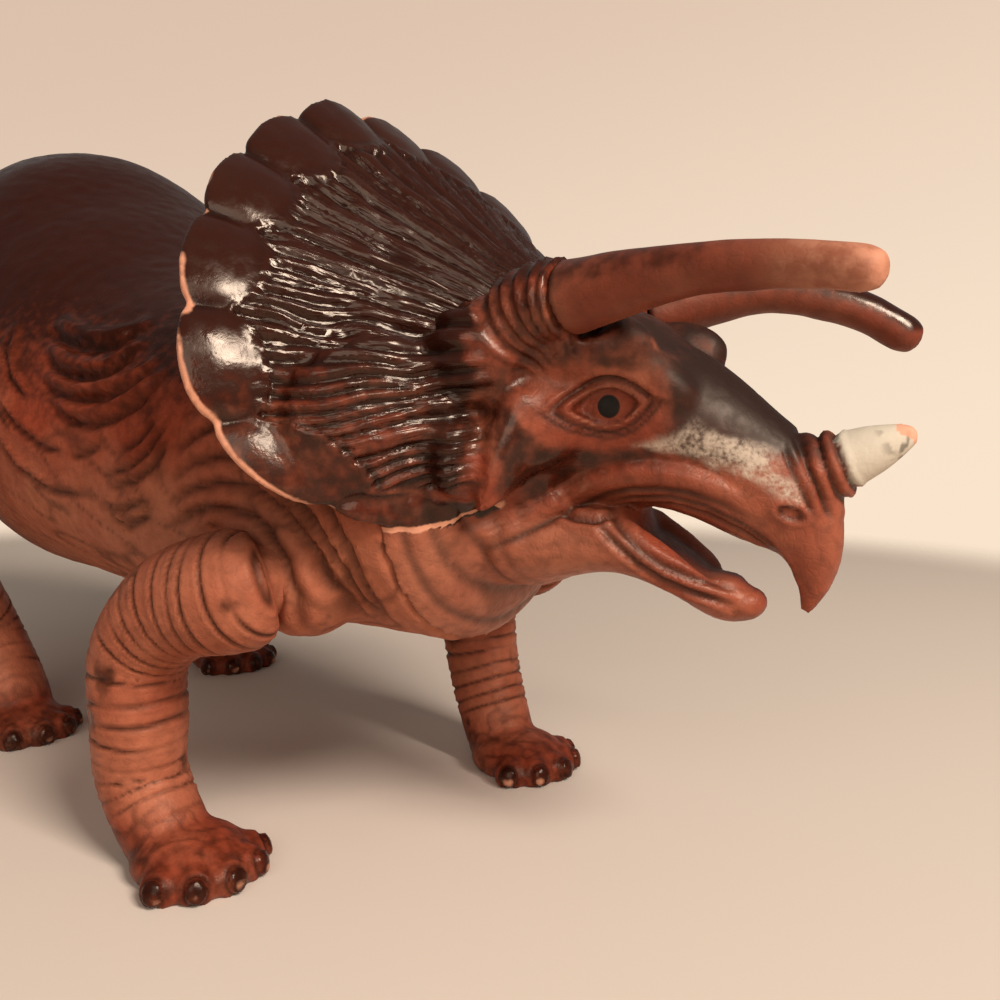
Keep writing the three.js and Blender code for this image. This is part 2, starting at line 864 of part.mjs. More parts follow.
function buildForeleg(name) {
  const hand = sideOf[name];
  const seat = shoulderSeat(hand);
  const direction = outward(hand);
  const start = seat.clone().addScaledVector(direction, clearance);
  const footX = hand * foreStride - foreFootBack;
  const footCentre = new THREE.Vector3(footX, hand * foreFootHalfSpan, -soleCut);
  const drop = shoulderHeight;
  const reach = foreFootHalfSpan - shoulderHalfSpan;
  const root = start.clone().add(new THREE.Vector3(
    -rootShares.back * drop,
    hand * rootShares.out * drop,
    -rootShares.drop * drop,
  ));
  const path = [
    start,
    root,
    ...upperArmShares.map(([back, out, height]) => new THREE.Vector3(
      seat.x - back * drop,
      hand * (shoulderHalfSpan + out * reach),
      height * drop,
    )),
    ...forearmShares.map(([back, out, height]) => new THREE.Vector3(
      footX - back * drop,
      hand * (foreFootHalfSpan + out * reach),
      height * drop,
    )),
  ];
  const rootSize = new THREE.Vector3(armRadius, armRadius, 2);
  const sizes = [
    rootSize,
    rootSize.clone(),
    ...upperArmShares.map(([, , , width, depth]) => new THREE.Vector3(
      width * armRadius,
      depth * armRadius,
      2,
    )),
    ...forearmShares.map(([, , , width, depth]) => new THREE.Vector3(
      width * forearmRadius,
      depth * forearmRadius,
      2,
    )),
  ];
  const arm = limb(path, sizes, legRings, limbSides, { across: FORWARD });
  const inboard = disc(armRadius * inboardShare, -cutOverrun, clearance, seat, direction);
  const whole = joined([
    arm.subtract(inboard),
    foot(footCentre, footRadius),
    plug(shoulderBoreRadius, seat, direction),
  ]);
  return levelled(hollowed(whole, path, sizes, { boreRadius: shoulderBoreRadius, seat, direction }));
}

// Thigh stations as shares: way to the foot, lead, out from the hip, height, half width, half depth
const thighShares = [
  [0, -0.02, 0.3, 1.27, 0.18, 0.1],
  [0, 0.02, 0.46, 1.02, 0.84, 0.46],
  [0.25, 0.01, 0.48, 0.78, 0.76, 0.54],
];

// Shin stations as shares: way to the foot, lead, way in, out, height, half width, half depth
const shinShares = [
  [0.5, 0.02, 0, 0.3, 0.52, 1.35, 1.1],
  [0.75, -0.1, 1, 0.217, 0.28, 1.05, 1],
  [1, -0.08, 1, 0.043, 0.1, 1, 1],
  [1, -0.04, 1, 0, 0.02, 0.9, 0.95],
];

// Thigh pad profile as shares: radius, depth
const thighPadShares = [[0.98, 0], [1, 0.12], [0.95, 0.3], [0.8, 0.5], [0, 0.62]];
const thighDepthShare = 0.66;
const hindFootShare = 1.08;

function buildHindleg(name) {
  const hand = sideOf[name];
  const seat = hipSeat(hand);
  const direction = outward(hand);
  const start = seat.clone().addScaledVector(direction, clearance);
  const footX = -hindFootBack - hand * hindStride;
  const footCentre = new THREE.Vector3(footX, hand * hindFootHalfSpan, -soleCut);
  const drop = hipHeight;
  const way = footX - seat.x;
  const thickness = thighDepthShare * thighRadius;
  const pad = turned([
    new THREE.Vector2(0, 0),
    ...thighPadShares.map(([radius, depth]) => new THREE.Vector2(
      radius * thighRadius,
      depth * thickness,
    )),
  ], start, direction);
  const path = [
    ...thighShares.map(([along, lead, out, height]) => new THREE.Vector3(
      seat.x + along * way + lead * drop,
      hand * (hipHalfSpan + out * thickness),
      height * drop,
    )),
    ...shinShares.map(([along, lead, inward, out, height]) => new THREE.Vector3(
      seat.x + along * way + lead * drop,
      hand * (THREE.MathUtils.lerp(hipHalfSpan, hindFootHalfSpan, inward) + out * thickness),
      height * drop,
    )),
  ];
  const sizes = [
    ...thighShares.map(([, , , , width, depth]) => new THREE.Vector3(
      width * thighRadius,
      depth * thickness,
      2,
    )),
    ...shinShares.map(([, , , , , width, depth]) => new THREE.Vector3(
      width * shinRadius,
      depth * shinRadius,
      2,
    )),
  ];
  const leg = limb(path, sizes, legRings, limbSides, { across: FORWARD });
  const inboard = disc(thighRadius * inboardShare, -cutOverrun, clearance, seat, direction);
  const whole = joined([
    pad,
    leg.subtract(inboard),
    foot(footCentre, footRadius * hindFootShare),
    plug(hipBoreRadius, seat, direction),
  ]);
  return levelled(hollowed(whole, path, sizes, { boreRadius: hipBoreRadius, seat, direction }));
}

// Assembly

function piece(name, solid, colour, roughness) {
  const material = new THREE.MeshStandardMaterial({ color: colour, roughness, metalness: 0 });
  const mesh = new THREE.Mesh(geometryOf(solid), material);
  mesh.name = name;
  return mesh;
}

const group = new THREE.Group();
group.add(piece('torso', buildTrunk(), skinColour, 0.45));

const head = new THREE.Group();
head.applyMatrix4(headFrame);
head.add(piece('head', buildHead(), darkColour, 0.35));
Object.keys(sideOf).forEach((name) => {
  head.add(piece(`horn_${name}`, buildHorn(name), hornColour, 0.4));
});
group.add(head);

Object.keys(sideOf).forEach((name) => {
  group.add(piece(`foreleg_${name}`, buildForeleg(name), skinColour, 0.5));
  group.add(piece(`hindleg_${name}`, buildHindleg(name), skinColour, 0.5));
});

// The origin is the middle of the whole figure's box, on the floor
const box = new THREE.Box3().setFromObject(group, true);
const middle = box.getCenter(new THREE.Vector3()).setZ(box.min.z);
group.children.forEach((child) => child.position.sub(middle));

export default group;
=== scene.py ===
"""Toy triceratops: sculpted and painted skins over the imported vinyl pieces, and the stage."""
import json
import math

import bpy
import numpy as np
from mathutils import Matrix, Vector


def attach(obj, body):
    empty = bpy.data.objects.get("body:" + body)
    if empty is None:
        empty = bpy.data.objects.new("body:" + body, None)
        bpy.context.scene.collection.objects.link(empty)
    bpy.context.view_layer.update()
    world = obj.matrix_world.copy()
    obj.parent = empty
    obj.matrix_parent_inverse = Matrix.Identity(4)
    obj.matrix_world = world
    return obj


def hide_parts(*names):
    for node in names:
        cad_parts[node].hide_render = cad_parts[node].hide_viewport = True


bl_info = {
    "name": "Toy triceratops skins",
    "version": (1, 0, 0),
    "blender": (4, 5, 0),
    "location": "3D View > Sidebar > Triceratops",
    "description": "Builds the sculpted, painted skins of a hollow vinyl triceratops figure",
    "category": "Object",
}

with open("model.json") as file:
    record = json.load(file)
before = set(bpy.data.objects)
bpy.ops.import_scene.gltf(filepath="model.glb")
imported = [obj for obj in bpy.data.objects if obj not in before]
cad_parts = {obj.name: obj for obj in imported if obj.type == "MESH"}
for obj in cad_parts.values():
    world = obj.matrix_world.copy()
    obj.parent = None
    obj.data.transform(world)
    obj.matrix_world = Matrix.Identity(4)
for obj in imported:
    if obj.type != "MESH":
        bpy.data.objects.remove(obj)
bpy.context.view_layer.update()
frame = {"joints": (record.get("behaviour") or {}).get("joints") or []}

# Sizes of the moulded pieces, in millimetres, in the frame that stands between the fore feet
TRUNK_LENGTH = 318
TRUNK_HEIGHT = 116
TRUNK_WIDTH = 108
TAIL_TIP_RADIUS = 2.6
NECK_SEAT = np.array([26.2, 3.9, 79.2])
NECK_RADIUS = 32.9
NECK_TURN = math.radians(12)
NECK_AXIS = np.array([math.cos(NECK_TURN), math.sin(NECK_TURN), 0])
NECK_BORE = 25
BROW = np.array([42.5, 8, 115.5])
HEAD_TURN = math.radians(20)
SNOUT_LENGTH = 60
SKULL_DEPTH = 40
SKULL_WIDTH = 44
JAW_LENGTH = 40
JAW_DROP = 14
JAW_WIDTH = 30
FRILL_RADIUS = 57.5
FRILL_SWEEP = 51
FRILL_THICKNESS = 2.3
FRILL_ROLL = math.radians(12)
FRILL_TURN = math.radians(-8)
FAN = math.radians(127)
HUB_HEIGHT = -15
FRILL_ROOT = 11.5
DISH_SHARE = 0.82
LOBES = 13
LOBE_DEPTH = 2.6
LOBE_SWELL = 0.4
CHEEK_SPIKE_LENGTH = 20
BROW_REACH = {"right": 7, "left": 12}
COLLAR_RADIUS = 9.4
COLLAR_RING_DEPTH = 0.7
COLLAR_RINGS = 6
COLLAR_LENGTH = 16.5
NOSE_HORN_LENGTH = 12.2
NOSE_HORN_RADIUS = 5
HORN_LENGTH = 51.5
HORN_RADIUS = 6.2
HORN_SPREAD = math.tan(math.radians(14))
HORN_RISE = 0.1
HORN_BEND = 2.6
HORN_DROOP = {"right": 0.09, "left": 0.21}
HORN_ARCH = {"right": 1.2, "left": 3.8}
HORN_CLUB = {"right": 0, "left": 0.16}
HORN_PIN_RADIUS = 3.4
HORN_PIN_LENGTH = 5.5
SHOULDER = np.array([6, 34, 60])
ARM_RADIUS = 11.3
FOREARM_RADIUS = 9.3
FORE_FOOT_BACK = 6
FORE_STRIDE = 2.4
FORE_FOOT_HALF_SPAN = 44
HIP = np.array([-152, 49, 90])
THIGH_RADIUS = 29
SHIN_RADIUS = 12
THIGH_DEPTH = 19.14
HIND_FOOT_HALF_SPAN = 40
HIND_FOOT_BACK = 133
HIND_STRIDE = 13
FOOT_RADIUS = 12.4
HIND_FOOT_SHARE = 1.08
FOOT_HEIGHT = 10.5
CLEARANCE = 0.35
SEAT_WALL = 3
FLANGE_THICKNESS = 2.4
FLANGE_OVERLAP = 2.6
SHOULDER_BORE = 7.2
HIP_BORE = 12
SIDES = {"right": -1, "left": 1}

# Room that a cut leaves round the root of a limb or a horn, and how far a cut runs out of the clay
ROOT_RELIEF = 0.7
HORN_RELIEF = 0.6
OVERRUN = 30

UP = np.array([0.0, 0.0, 1.0])
LEFT = np.array([0.0, 1.0, 0.0])
FORWARD = np.array([1.0, 0.0, 0.0])

# The row frame's origin is the middle of the whole figure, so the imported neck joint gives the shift
NECK_JOINT = next(joint for joint in frame["joints"] if joint["name"] == "neck_swivel")
SHIFT = np.array(NECK_JOINT["pos_m"]) * 1000 - NECK_SEAT


class SculptSizes(bpy.types.PropertyGroup):
    """Sizes of the sculpted detail."""

    torso_grain: bpy.props.FloatProperty(
        name="Torso grid", description="Edge of one face of the torso skin in millimetres",
        default=1.25, min=0.8, max=4)
    head_grain: bpy.props.FloatProperty(
        name="Head grid", description="Edge of one face of the head skin in millimetres",
        default=0.62, min=0.5, max=3)
    leg_grain: bpy.props.FloatProperty(
        name="Leg grid", description="Edge of one face of the leg skins in millimetres",
        default=0.7, min=0.4, max=3)
    ridge_depth: bpy.props.FloatProperty(
        name="Frill ridges", description="Depth of the grooves between the frill's ridges in millimetres",
        default=0.85, min=0, max=2)
    fold_depth: bpy.props.FloatProperty(
        name="Skin folds", description="Factor on the depth of the skin folds",
        default=1, min=0, max=2)


def colour_property(name, description, default):
    return bpy.props.FloatVectorProperty(
        name=name, description=description, subtype="COLOR_GAMMA", size=3, min=0, max=1,
        default=tuple(value / 255 for value in default))


class PaintColours(bpy.types.PropertyGroup):
    """Colours of the vinyl and of the paint on it, as they look on a screen."""

    vinyl: colour_property("Vinyl", "Bare tan vinyl at rubbed edges", (205, 138, 106))
    skin: colour_property("Skin", "Sprayed red-brown skin", (152, 88, 63))
    flush: colour_property("Flush", "Redder paint over the skin", (121, 51, 31))
    wash: colour_property("Wash", "Dark glossy wash", (33, 11, 6))
    # Dark paint in the folds, deepened into painted shade in grooves and hollows
    crease: colour_property("Crease", "Dark paint left in the folds", (24, 9, 5))
    bone: colour_property("Bone", "White paint of the nose horn", (188, 173, 152))
    # The silvery patch is scratches with a painted sheen
    scuff: colour_property("Scuff", "Silvery scuffed patch", (186, 164, 142))
    pupil: colour_property("Pupil", "Black paint of the pupil", (10, 8, 8))
    floor: colour_property("Floor", "Paper under the figure", (209, 191, 174))
    # The wall's two colours are painted shading: lit at its foot, darker at its top
    backdrop: colour_property("Backdrop", "Foot of the wall behind the figure", (250, 228, 204))
    wall: colour_property("Wall", "Top of the wall behind the figure", (219, 192, 171))


def linear(colour):
    """A screen colour as the renderer's linear one, with alpha."""
    values = [c / 12.92 if c <= 0.04045 else ((c + 0.055) / 1.055) ** 2.4 for c in colour]
    return (*values, 1.0)


# Curves and lofts

def spline(points, shares):
    """Points on a centripetal spline, spaced evenly by its knots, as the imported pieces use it."""
    points = np.asarray(points, float)
    last = len(points) - 1
    place = np.clip(np.asarray(shares, float), 0, 1) * last
    index = np.minimum(np.floor(place).astype(int), last - 1)
    weight = (place - index)[:, None]
    before = np.vstack([2 * points[0] - points[1], points, 2 * points[-1] - points[-2]])
    p0, p1, p2, p3 = (before[index + k] for k in range(4))
    gap = [np.sum((b - a) ** 2, axis=1) ** 0.25 for a, b in ((p0, p1), (p1, p2), (p2, p3))]
    gap[1] = np.where(gap[1] < 1e-4, 1.0, gap[1])
    gap[0] = np.where(gap[0] < 1e-4, gap[1], gap[0])
    gap[2] = np.where(gap[2] < 1e-4, gap[1], gap[2])
    d0, d1, d2 = (g[:, None] for g in gap)
    t1 = ((p1 - p0) / d0 - (p2 - p0) / (d0 + d1) + (p2 - p1) / d1) * d1
    t2 = ((p2 - p1) / d1 - (p3 - p1) / (d1 + d2) + (p3 - p2) / d2) * d1
    c2 = -3 * p1 + 3 * p2 - 2 * t1 - t2
    c3 = 2 * p1 - 2 * p2 + t1 + t2
    return p1 + weight * (t1 + weight * (c2 + weight * c3))


def unit(vectors):
    vectors = np.asarray(vectors, float)
    return vectors / np.maximum(np.linalg.norm(vectors, axis=-1, keepdims=True), 1e-9)


def skin_faces(rings, sides):
    """Quads between rings of points, with a fan on each end."""
    faces = []
    for i in range(rings - 1):
        for j in range(sides):
            k = (j + 1) % sides
            faces.append((i * sides + j, i * sides + k, (i + 1) * sides + k, (i + 1) * sides + j))
    first, last = rings * sides, rings * sides + 1
    for j in range(sides):
        k = (j + 1) % sides
        faces.append((first, k, j))
        faces.append((last, (rings - 1) * sides + j, (rings - 1) * sides + k))
    return faces


def limb(path, sizes, rings=90, sides=64, across=LEFT, normal=None, upright=False):
    """A tapering limb: half width, half height and squareness carried along a path."""
    shares = np.linspace(0, 1, rings)
    centres = spline(path, shares)
    girths = spline(sizes, shares)
    step = 1e-4
    runs = unit(spline(path, np.minimum(shares + step, 1)) - spline(path, np.maximum(shares - step, 0)))
    if normal is not None:
        runs = np.tile(unit(normal), (rings, 1))
    if upright:
        runs = unit(runs * np.array([1, 1, 0]))
    ups = unit(np.cross(runs, across))
    outs = np.cross(ups, runs)
    angle = np.linspace(0, 2 * np.pi, sides, endpoint=False)
    power = 2 / girths[:, 2:3]
    u = np.sign(np.cos(angle)) * np.abs(np.cos(angle)) ** power
    v = np.sign(np.sin(angle)) * np.abs(np.sin(angle)) ** power
    grid = (centres[:, None] + outs[:, None] * (u * girths[:, :1])[..., None]
            + ups[:, None] * (v * girths[:, 1:2])[..., None])
    points = np.vstack([grid.reshape(-1, 3), centres[:1], centres[-1:]])
    return points, skin_faces(rings, sides)


def axes_along(direction):
    """A rotation whose third axis is the direction."""
    z = unit(direction)
    x = unit(np.cross(LEFT if abs(z[1]) < 0.9 else FORWARD, z))
    return np.stack([x, np.cross(z, x), z], axis=1)


def turned(profile, base, direction, sides=64):
    """A turned form from radii and heights along a direction."""
    profile = np.asarray(profile, float)
    frame_axes = axes_along(direction)
    angle = np.linspace(0, 2 * np.pi, sides, endpoint=False)
    rings = []
    for radius, height in profile:
        ring = np.stack([np.cos(angle) * radius, np.sin(angle) * radius, np.full(sides, height)], axis=1)
        rings.append(ring)
    points = np.vstack(rings + [[[0, 0, profile[0, 1]]], [[0, 0, profile[-1, 1]]]])
    return points @ frame_axes.T + base, skin_faces(len(profile), sides)


def disc(radius, low, high, base, direction, sides=64):
    return turned([(radius, low), (radius, high)], base, direction, sides)


def rounded(shares, radius, height, base, direction):
    """A turned form with a smooth outline through shares of its radius and height."""
    fine = spline([(r, h, 0) for r, h in shares], np.linspace(0, 1, 40))
    return turned([(r * radius, h * height) for r, h, _ in fine], base, direction)


def plug(bore, base, direction):
    """The male half of a joint: its neck through the seat and the flange behind it."""
    neck, flange = bore - CLEARANCE, bore + FLANGE_OVERLAP
    behind = -(SEAT_WALL + CLEARANCE)
    profile = [
        (flange - 1.2, behind - FLANGE_THICKNESS), (flange, behind - FLANGE_THICKNESS / 2),
        (flange, behind), (neck, behind), (neck, CLEARANCE + SEAT_WALL)]
    return turned(profile, base, direction)


# Clay: closed forms gathered for one piece, then fused into one skin

def object_of(name, points, faces):
    mesh = bpy.data.meshes.new(name)
    mesh.from_pydata([tuple(p) for p in points], [], faces)
    mesh.update()
    made = bpy.data.objects.new(name, mesh)
    bpy.context.scene.collection.objects.link(made)
    return made


def only(obj):
    """Makes one object the only selected one and the active one."""
    bpy.ops.object.select_all(action="DESELECT")
    obj.hide_set(False)
    obj.select_set(True)
    bpy.context.view_layer.objects.active = obj


def applied(obj, kind, **settings):
    """Adds one modifier with its settings and applies it."""
    only(obj)
    modifier = obj.modifiers.new(kind.lower(), kind)
    for key, value in settings.items():
        setattr(modifier, key, value)
    bpy.ops.object.modifier_apply(modifier=modifier.name)


def ball(centre, radii, along=FORWARD):
    """A rounded lump of clay whose first radius lies along a direction."""
    turn = Matrix(axes_along(along).tolist()).to_euler()
    bpy.ops.object.select_all(action="DESELECT")
    bpy.ops.mesh.primitive_uv_sphere_add(
        segments=28, ring_count=18, radius=1, location=tuple(centre), rotation=tuple(turn),
        scale=(radii[2], radii[1], radii[0]))
    return bpy.context.object


def clay(name, forms):
    """Joins closed forms, given as objects or as points with faces, into one object."""
    made = [form if isinstance(form, bpy.types.Object) else object_of(name, *form) for form in forms]
    bpy.ops.object.select_all(action="DESELECT")
    for form in made:
        form.select_set(True)
    bpy.context.view_layer.objects.active = made[0]
    bpy.ops.object.join()
    joined = bpy.context.object
    joined.name = name
    bpy.ops.object.transform_apply(location=True, rotation=True, scale=True)
    return joined


def cut(obj, points, faces):
    """Takes a closed form away from an object."""
    tool = object_of("cutter", points, faces)
    only(tool)
    bpy.ops.object.mode_set(mode="EDIT")
    bpy.ops.mesh.select_all(action="SELECT")
    bpy.ops.mesh.normals_make_consistent(inside=False)
    bpy.ops.object.mode_set(mode="OBJECT")
    applied(obj, "BOOLEAN", operation="DIFFERENCE", object=tool, solver="MANIFOLD")
    bpy.data.objects.remove(tool)


def fused(obj, grain, rounds):
    """Fuses the clay into one skin, keeps its outer shell, softens it and gives it back."""
    applied(obj, "REMESH", mode="VOXEL", voxel_size=grain, use_smooth_shade=True)
    obj = keep_largest(obj)
    if rounds:
        applied(obj, "SMOOTH", factor=0.5, iterations=rounds)
    return obj


def grouped(obj, weight, kind, **settings):
    """Applies a modifier to the points of a skin as far as each one's weight lets it."""
    group = obj.vertex_groups.new(name="part")
    for step in range(1, 11):
        chosen = np.nonzero(np.round(weight * 10) == step)[0]
        group.add(chosen.tolist(), step / 10, "REPLACE")
    applied(obj, kind, vertex_group="part", **settings)
    obj.vertex_groups.clear()


def softened(obj, places, rounds):
    """Softens the skin round some places, each given as a centre and a reach."""
    points = points_of(obj)
    weight = np.zeros(len(points))
    for centre, reach in places:
        gap = np.linalg.norm(points - np.array(centre, float), axis=1)
        weight = np.maximum(weight, 1 - ramp(gap, reach * 0.6, reach))
    grouped(obj, weight, "SMOOTH", factor=0.5, iterations=rounds)


def keep_largest(obj):
    """Removes every loose shell but the largest one."""
    only(obj)
    bpy.ops.object.mode_set(mode="EDIT")
    bpy.ops.mesh.select_all(action="SELECT")
    bpy.ops.mesh.separate(type="LOOSE")
    bpy.ops.object.mode_set(mode="OBJECT")
    shells = sorted(bpy.context.selected_objects, key=lambda o: len(o.data.vertices))
    largest = shells[-1]
    name = obj.name
    for shell in shells[:-1]:
        bpy.data.objects.remove(shell)
    largest.name = name
    bpy.context.view_layer.objects.active = largest
    return largest


def vectors_of(obj, key):
    values = np.zeros(len(obj.data.vertices) * 3, np.float32)
    obj.data.vertices.foreach_get(key, values)
    return values.reshape(-1, 3).astype(float)


def points_of(obj):
    return vectors_of(obj, "co")


def set_points(obj, points):
    obj.data.vertices.foreach_set("co", points.astype(np.float32).ravel())
    obj.data.update()


def mask(obj, name, values):
    """Stores one value for each point, for the paint to read."""
    attribute = obj.data.attributes.new(name, "FLOAT", "POINT")
    attribute.data.foreach_set("value", np.asarray(values, np.float32))


def finished(obj, body, node, material):
    """Moves the skin into the row frame, names it after its node and hands it to the frame."""
    set_points(obj, (points_of(obj) + SHIFT) / 1000)
    obj.name = f"{node}_skin"
    obj.data.name = obj.name
    obj.data.materials.clear()
    obj.data.materials.append(material)
    only(obj)
    bpy.ops.object.shade_smooth()
    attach(obj, body)
    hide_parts(node)
    return obj


# Noise and folds

# A large factor that scatters sines into fixed random numbers
SCATTER = 43758.5453


def noise(points, size, seed=0):
    """Smooth noise from -1 to 1 on a lattice with cells of one size."""
    place = np.asarray(points, float) / size + seed * 17.3
    cell = np.floor(place)
    part = place - cell
    part = part * part * (3 - 2 * part)
    total = np.zeros(len(place))
    for dx in (0, 1):
        for dy in (0, 1):
            for dz in (0, 1):
                corner = cell + (dx, dy, dz)
                value = np.sin(corner @ np.array([127.1, 311.7, 74.7])) * SCATTER
                value = (value - np.floor(value)) * 2 - 1
                weight = (np.abs(1 - dx - part[:, 0]) * np.abs(1 - dy - part[:, 1])
                          * np.abs(1 - dz - part[:, 2]))
                total += weight * value
    return total


def ramp(values, low, high):
    """A smooth step from 0 at low to 1 at high."""
    t = np.clip((values - low) / (high - low), 0, 1)
    return t * t * (3 - 2 * t)


def bell(values, width):
    """A smooth hump, 1 where the values are 0 and next to nothing two widths away."""
    return np.exp(-(values / width) ** 2)


def distance_to(points, line):
    """Distance of each point from a line of points, and how far along it lies, from 0 to 1."""
    line = np.asarray(line, float)
    best = np.full(len(points), 1e9)
    along = np.zeros(len(points))
    for k in range(len(line) - 1):
        start, run = line[k], line[k + 1] - line[k]
        t = np.clip((points - start) @ run / max(run @ run, 1e-9), 0, 1)
        gap = np.linalg.norm(points - (start + t[:, None] * run), axis=1)
        nearer = gap < best
        best = np.where(nearer, gap, best)
        along = np.where(nearer, (k + t) / (len(line) - 1), along)
    return best, along


def flat(line):
    """A line drawn forward and up, as points without a side."""
    return np.array([(x, 0, z) for x, z in line], float)


class Sculpt:
    """Heights and paint masks gathered for the points of one skin before they move."""

    def __init__(self, obj):
        self.obj = obj
        self.points = points_of(obj)
        self.normals = vectors_of(obj, "normal")
        self.height = np.zeros(len(self.points))
        self.masks = {name: np.zeros(len(self.points)) for name in MASKS}

    def noise(self, size, seed):
        return noise(self.points, size, seed)

    def paint(self, name, values):
        self.masks[name] = np.maximum(self.masks[name], np.clip(values, 0, 1))

    def groove(self, gap, width, depth, weight=1.0, lip=0.45):
        """A valley along gap = 0 with a raised lip on both sides, its bottom painted dark: fold paint with
        painted shade.
        """
        valley = bell(gap, width) * weight
        rise = bell(np.abs(gap) - 2 * width, width) * weight
        self.height += depth * (lip * rise - valley)
        self.paint("crease", valley)

    def fold(self, line, width, depth, places=None, spread=1.0, lip=0.45):
        """A groove along a line of points that fades out at both ends; a negative depth gives a ridge."""
        places = self.points if places is None else places
        gap, along = distance_to(places, line)
        fade = np.sqrt(np.clip(6 * along, 0, 1) * np.clip(6 * (1 - along), 0, 1)) * spread
        if depth < 0:
            self.height -= depth * bell(gap, width) * fade
        else:
            self.groove(gap, width, depth, fade, lip)

    def carve(self):
        """Moves the points by their heights and stores the masks."""
        set_points(self.obj, self.points + self.normals * self.height[:, None])
        for name, values in self.masks.items():
            mask(self.obj, name, values)


# What the sculpting stores for the paint: dark paint with painted shade in folds and hollows, rubbed edges,
# dark wash, redder paint, scratches with a painted silvery sheen, white and black paint and dull paint, then
# the frill's ridged field and the way along its ridges
MASKS = ("crease", "rub", "wash", "flush", "scuff", "bone", "pupil", "satin", "ridged", "strand", "reach")


def wobble(points, size, amount, seed=0):
    """The points pushed about by smooth noise, so that what is drawn on them isn't straight."""
    return points + amount * np.stack([noise(points, size, seed + k) for k in range(3)], axis=1)


# Torso

# Trunk stations as shares: run back, side step, rise over the neck, half width, half height, squareness
TRUNK_SHARES = np.array([
    [0.098, -0.6, -0.002, 0.338, 0.288, 1.15],
    [0.192, -1, 0.005, 0.398, 0.32, 1.12],
    [0.302, -1, 0.054, 0.463, 0.37, 1.05],
    [0.412, -1, 0.143, 0.5, 0.453, 1.02],
    [0.522, -1, 0.232, 0.5, 0.54, 1.02],
    [0.623, -1, 0.265, 0.449, 0.525, 1],
    [0.704, -1, 0.2, 0.35, 0.425, 1],
    [0.774, -1, 0.1, 0.252, 0.305, 1],
    [0.852, -1, 0.0, 0.163, 0.2, 1],
    [0.931, 0, -0.09, 0.09, 0.105, 1],
])


def trunk():
    run, step, rise, width, height, square = TRUNK_SHARES.T
    inner = np.stack([
        NECK_SEAT[0] - run * TRUNK_LENGTH,
        NECK_SEAT[1] * (1 + step),
        NECK_SEAT[2] + rise * TRUNK_HEIGHT,
    ], axis=1)
    tip = [NECK_SEAT[0] - TRUNK_LENGTH, NECK_SEAT[1] * 2.3, NECK_SEAT[2] - 0.2 * TRUNK_HEIGHT]
    lead = NECK_SEAT - NECK_AXIS * NECK_RADIUS / 4
    path = np.vstack([NECK_SEAT, lead, inner, tip])
    seam = [NECK_RADIUS, NECK_RADIUS, 2]
    girths = np.stack([width * TRUNK_WIDTH, height * TRUNK_HEIGHT, 2 * square], axis=1)
    sizes = np.vstack([seam, seam, girths, [TAIL_TIP_RADIUS, TAIL_TIP_RADIUS, 2]])
    return limb(path, sizes, rings=220, sides=120, upright=True)


def seat(point, hand):
    return point * np.array([1, hand, 1])


def sideways(hand):
    return LEFT * hand


# The mound of clay that carries each shoulder, the boss behind each hip, and the softening round a mound
MOUND_SIDE = 25
MOUND_RADII = (12.5, 12.6, 12.6)
HIP_BOSS_RADIUS = HIP_BORE + 6
HIP_BOSS_DEPTH = 12
MOUND_SOFT_SIDE = 27
MOUND_SOFT_REACH = 26
MOUND_SOFT_ROUNDS = 14


def build_torso(context):
    sizes = context.scene.sculpt_sizes
    hands = SIDES.values()
    forms = [trunk()]
    for hand in hands:
        forms.append(ball((SHOULDER[0], hand * MOUND_SIDE, SHOULDER[2]), MOUND_RADII, LEFT))
        forms.append(disc(HIP_BOSS_RADIUS, -HIP_BOSS_DEPTH, 0, seat(HIP, hand), sideways(hand)))
    torso = clay("torso_skin", forms)
    torso = fused(torso, sizes.torso_grain, 0)
    for hand in hands:
        for radius, joint in ((1.6 * ARM_RADIUS, SHOULDER), (THIGH_RADIUS, HIP)):
            cut(torso, *disc(radius + ROOT_RELIEF, 0, OVERRUN, seat(joint, hand), sideways(hand)))
    torso = fused(torso, sizes.torso_grain, 3)
    spots = [((SHOULDER[0], hand * MOUND_SOFT_SIDE, SHOULDER[2]), MOUND_SOFT_REACH) for hand in hands]
    softened(torso, spots, MOUND_SOFT_ROUNDS)
    sculpt_torso(torso, sizes)
    return finished(torso, "torso", "torso", painted("torso"))


# Folds as places forward and up on the side of the animal: hanging on the flank, slanting behind the
# arm, and standing in arcs over the arm and down the chest
SMILES = (
    [(-74, 111), (-68.8, 108.8), (-61, 106.7), (-54.6, 106.3), (-49.3, 107.3), (-47.5, 110)],
    [(-70.6, 104.8), (-63, 100.7), (-55, 99.3), (-48.4, 99.6), (-45.3, 101.4), (-42.3, 105)],
    [(-67, 98.5), (-60, 95.5), (-52.7, 94.6), (-44.4, 95), (-37, 97), (-33.8, 100.3)],
    [(-62.8, 93.2), (-54.7, 90), (-47.3, 89), (-40, 90.5), (-32.6, 94), (-29.3, 98.6)],
)
SLANTS = (
    [(-44, 77.5), (-33, 80), (-27, 84), (-23, 89.3)],
    [(-41.5, 75), (-31.7, 77.2), (-25, 81), (-21.7, 86.3)],
    [(-38, 82.7), (-30, 86), (-26.4, 90.3)],
    [(-54, 82), (-48.4, 83), (-43.3, 84.7)],
    [(-45.3, 71.4), (-36.4, 71), (-27.7, 73.6)],
    [(-43, 69.3), (-37, 67), (-26.7, 70.5)],
    [(-84.4, 94.3), (-76.8, 88.4), (-66, 84), (-57.8, 82.7)],
    [(-85.5, 84.7), (-77.7, 77.7), (-65, 73.6), (-52.3, 73.2)],
    [(-85.6, 111), (-85.4, 106), (-79.7, 99), (-73, 94.3)],
    [(-92, 108), (-91, 101), (-86, 93), (-79, 87)],
)
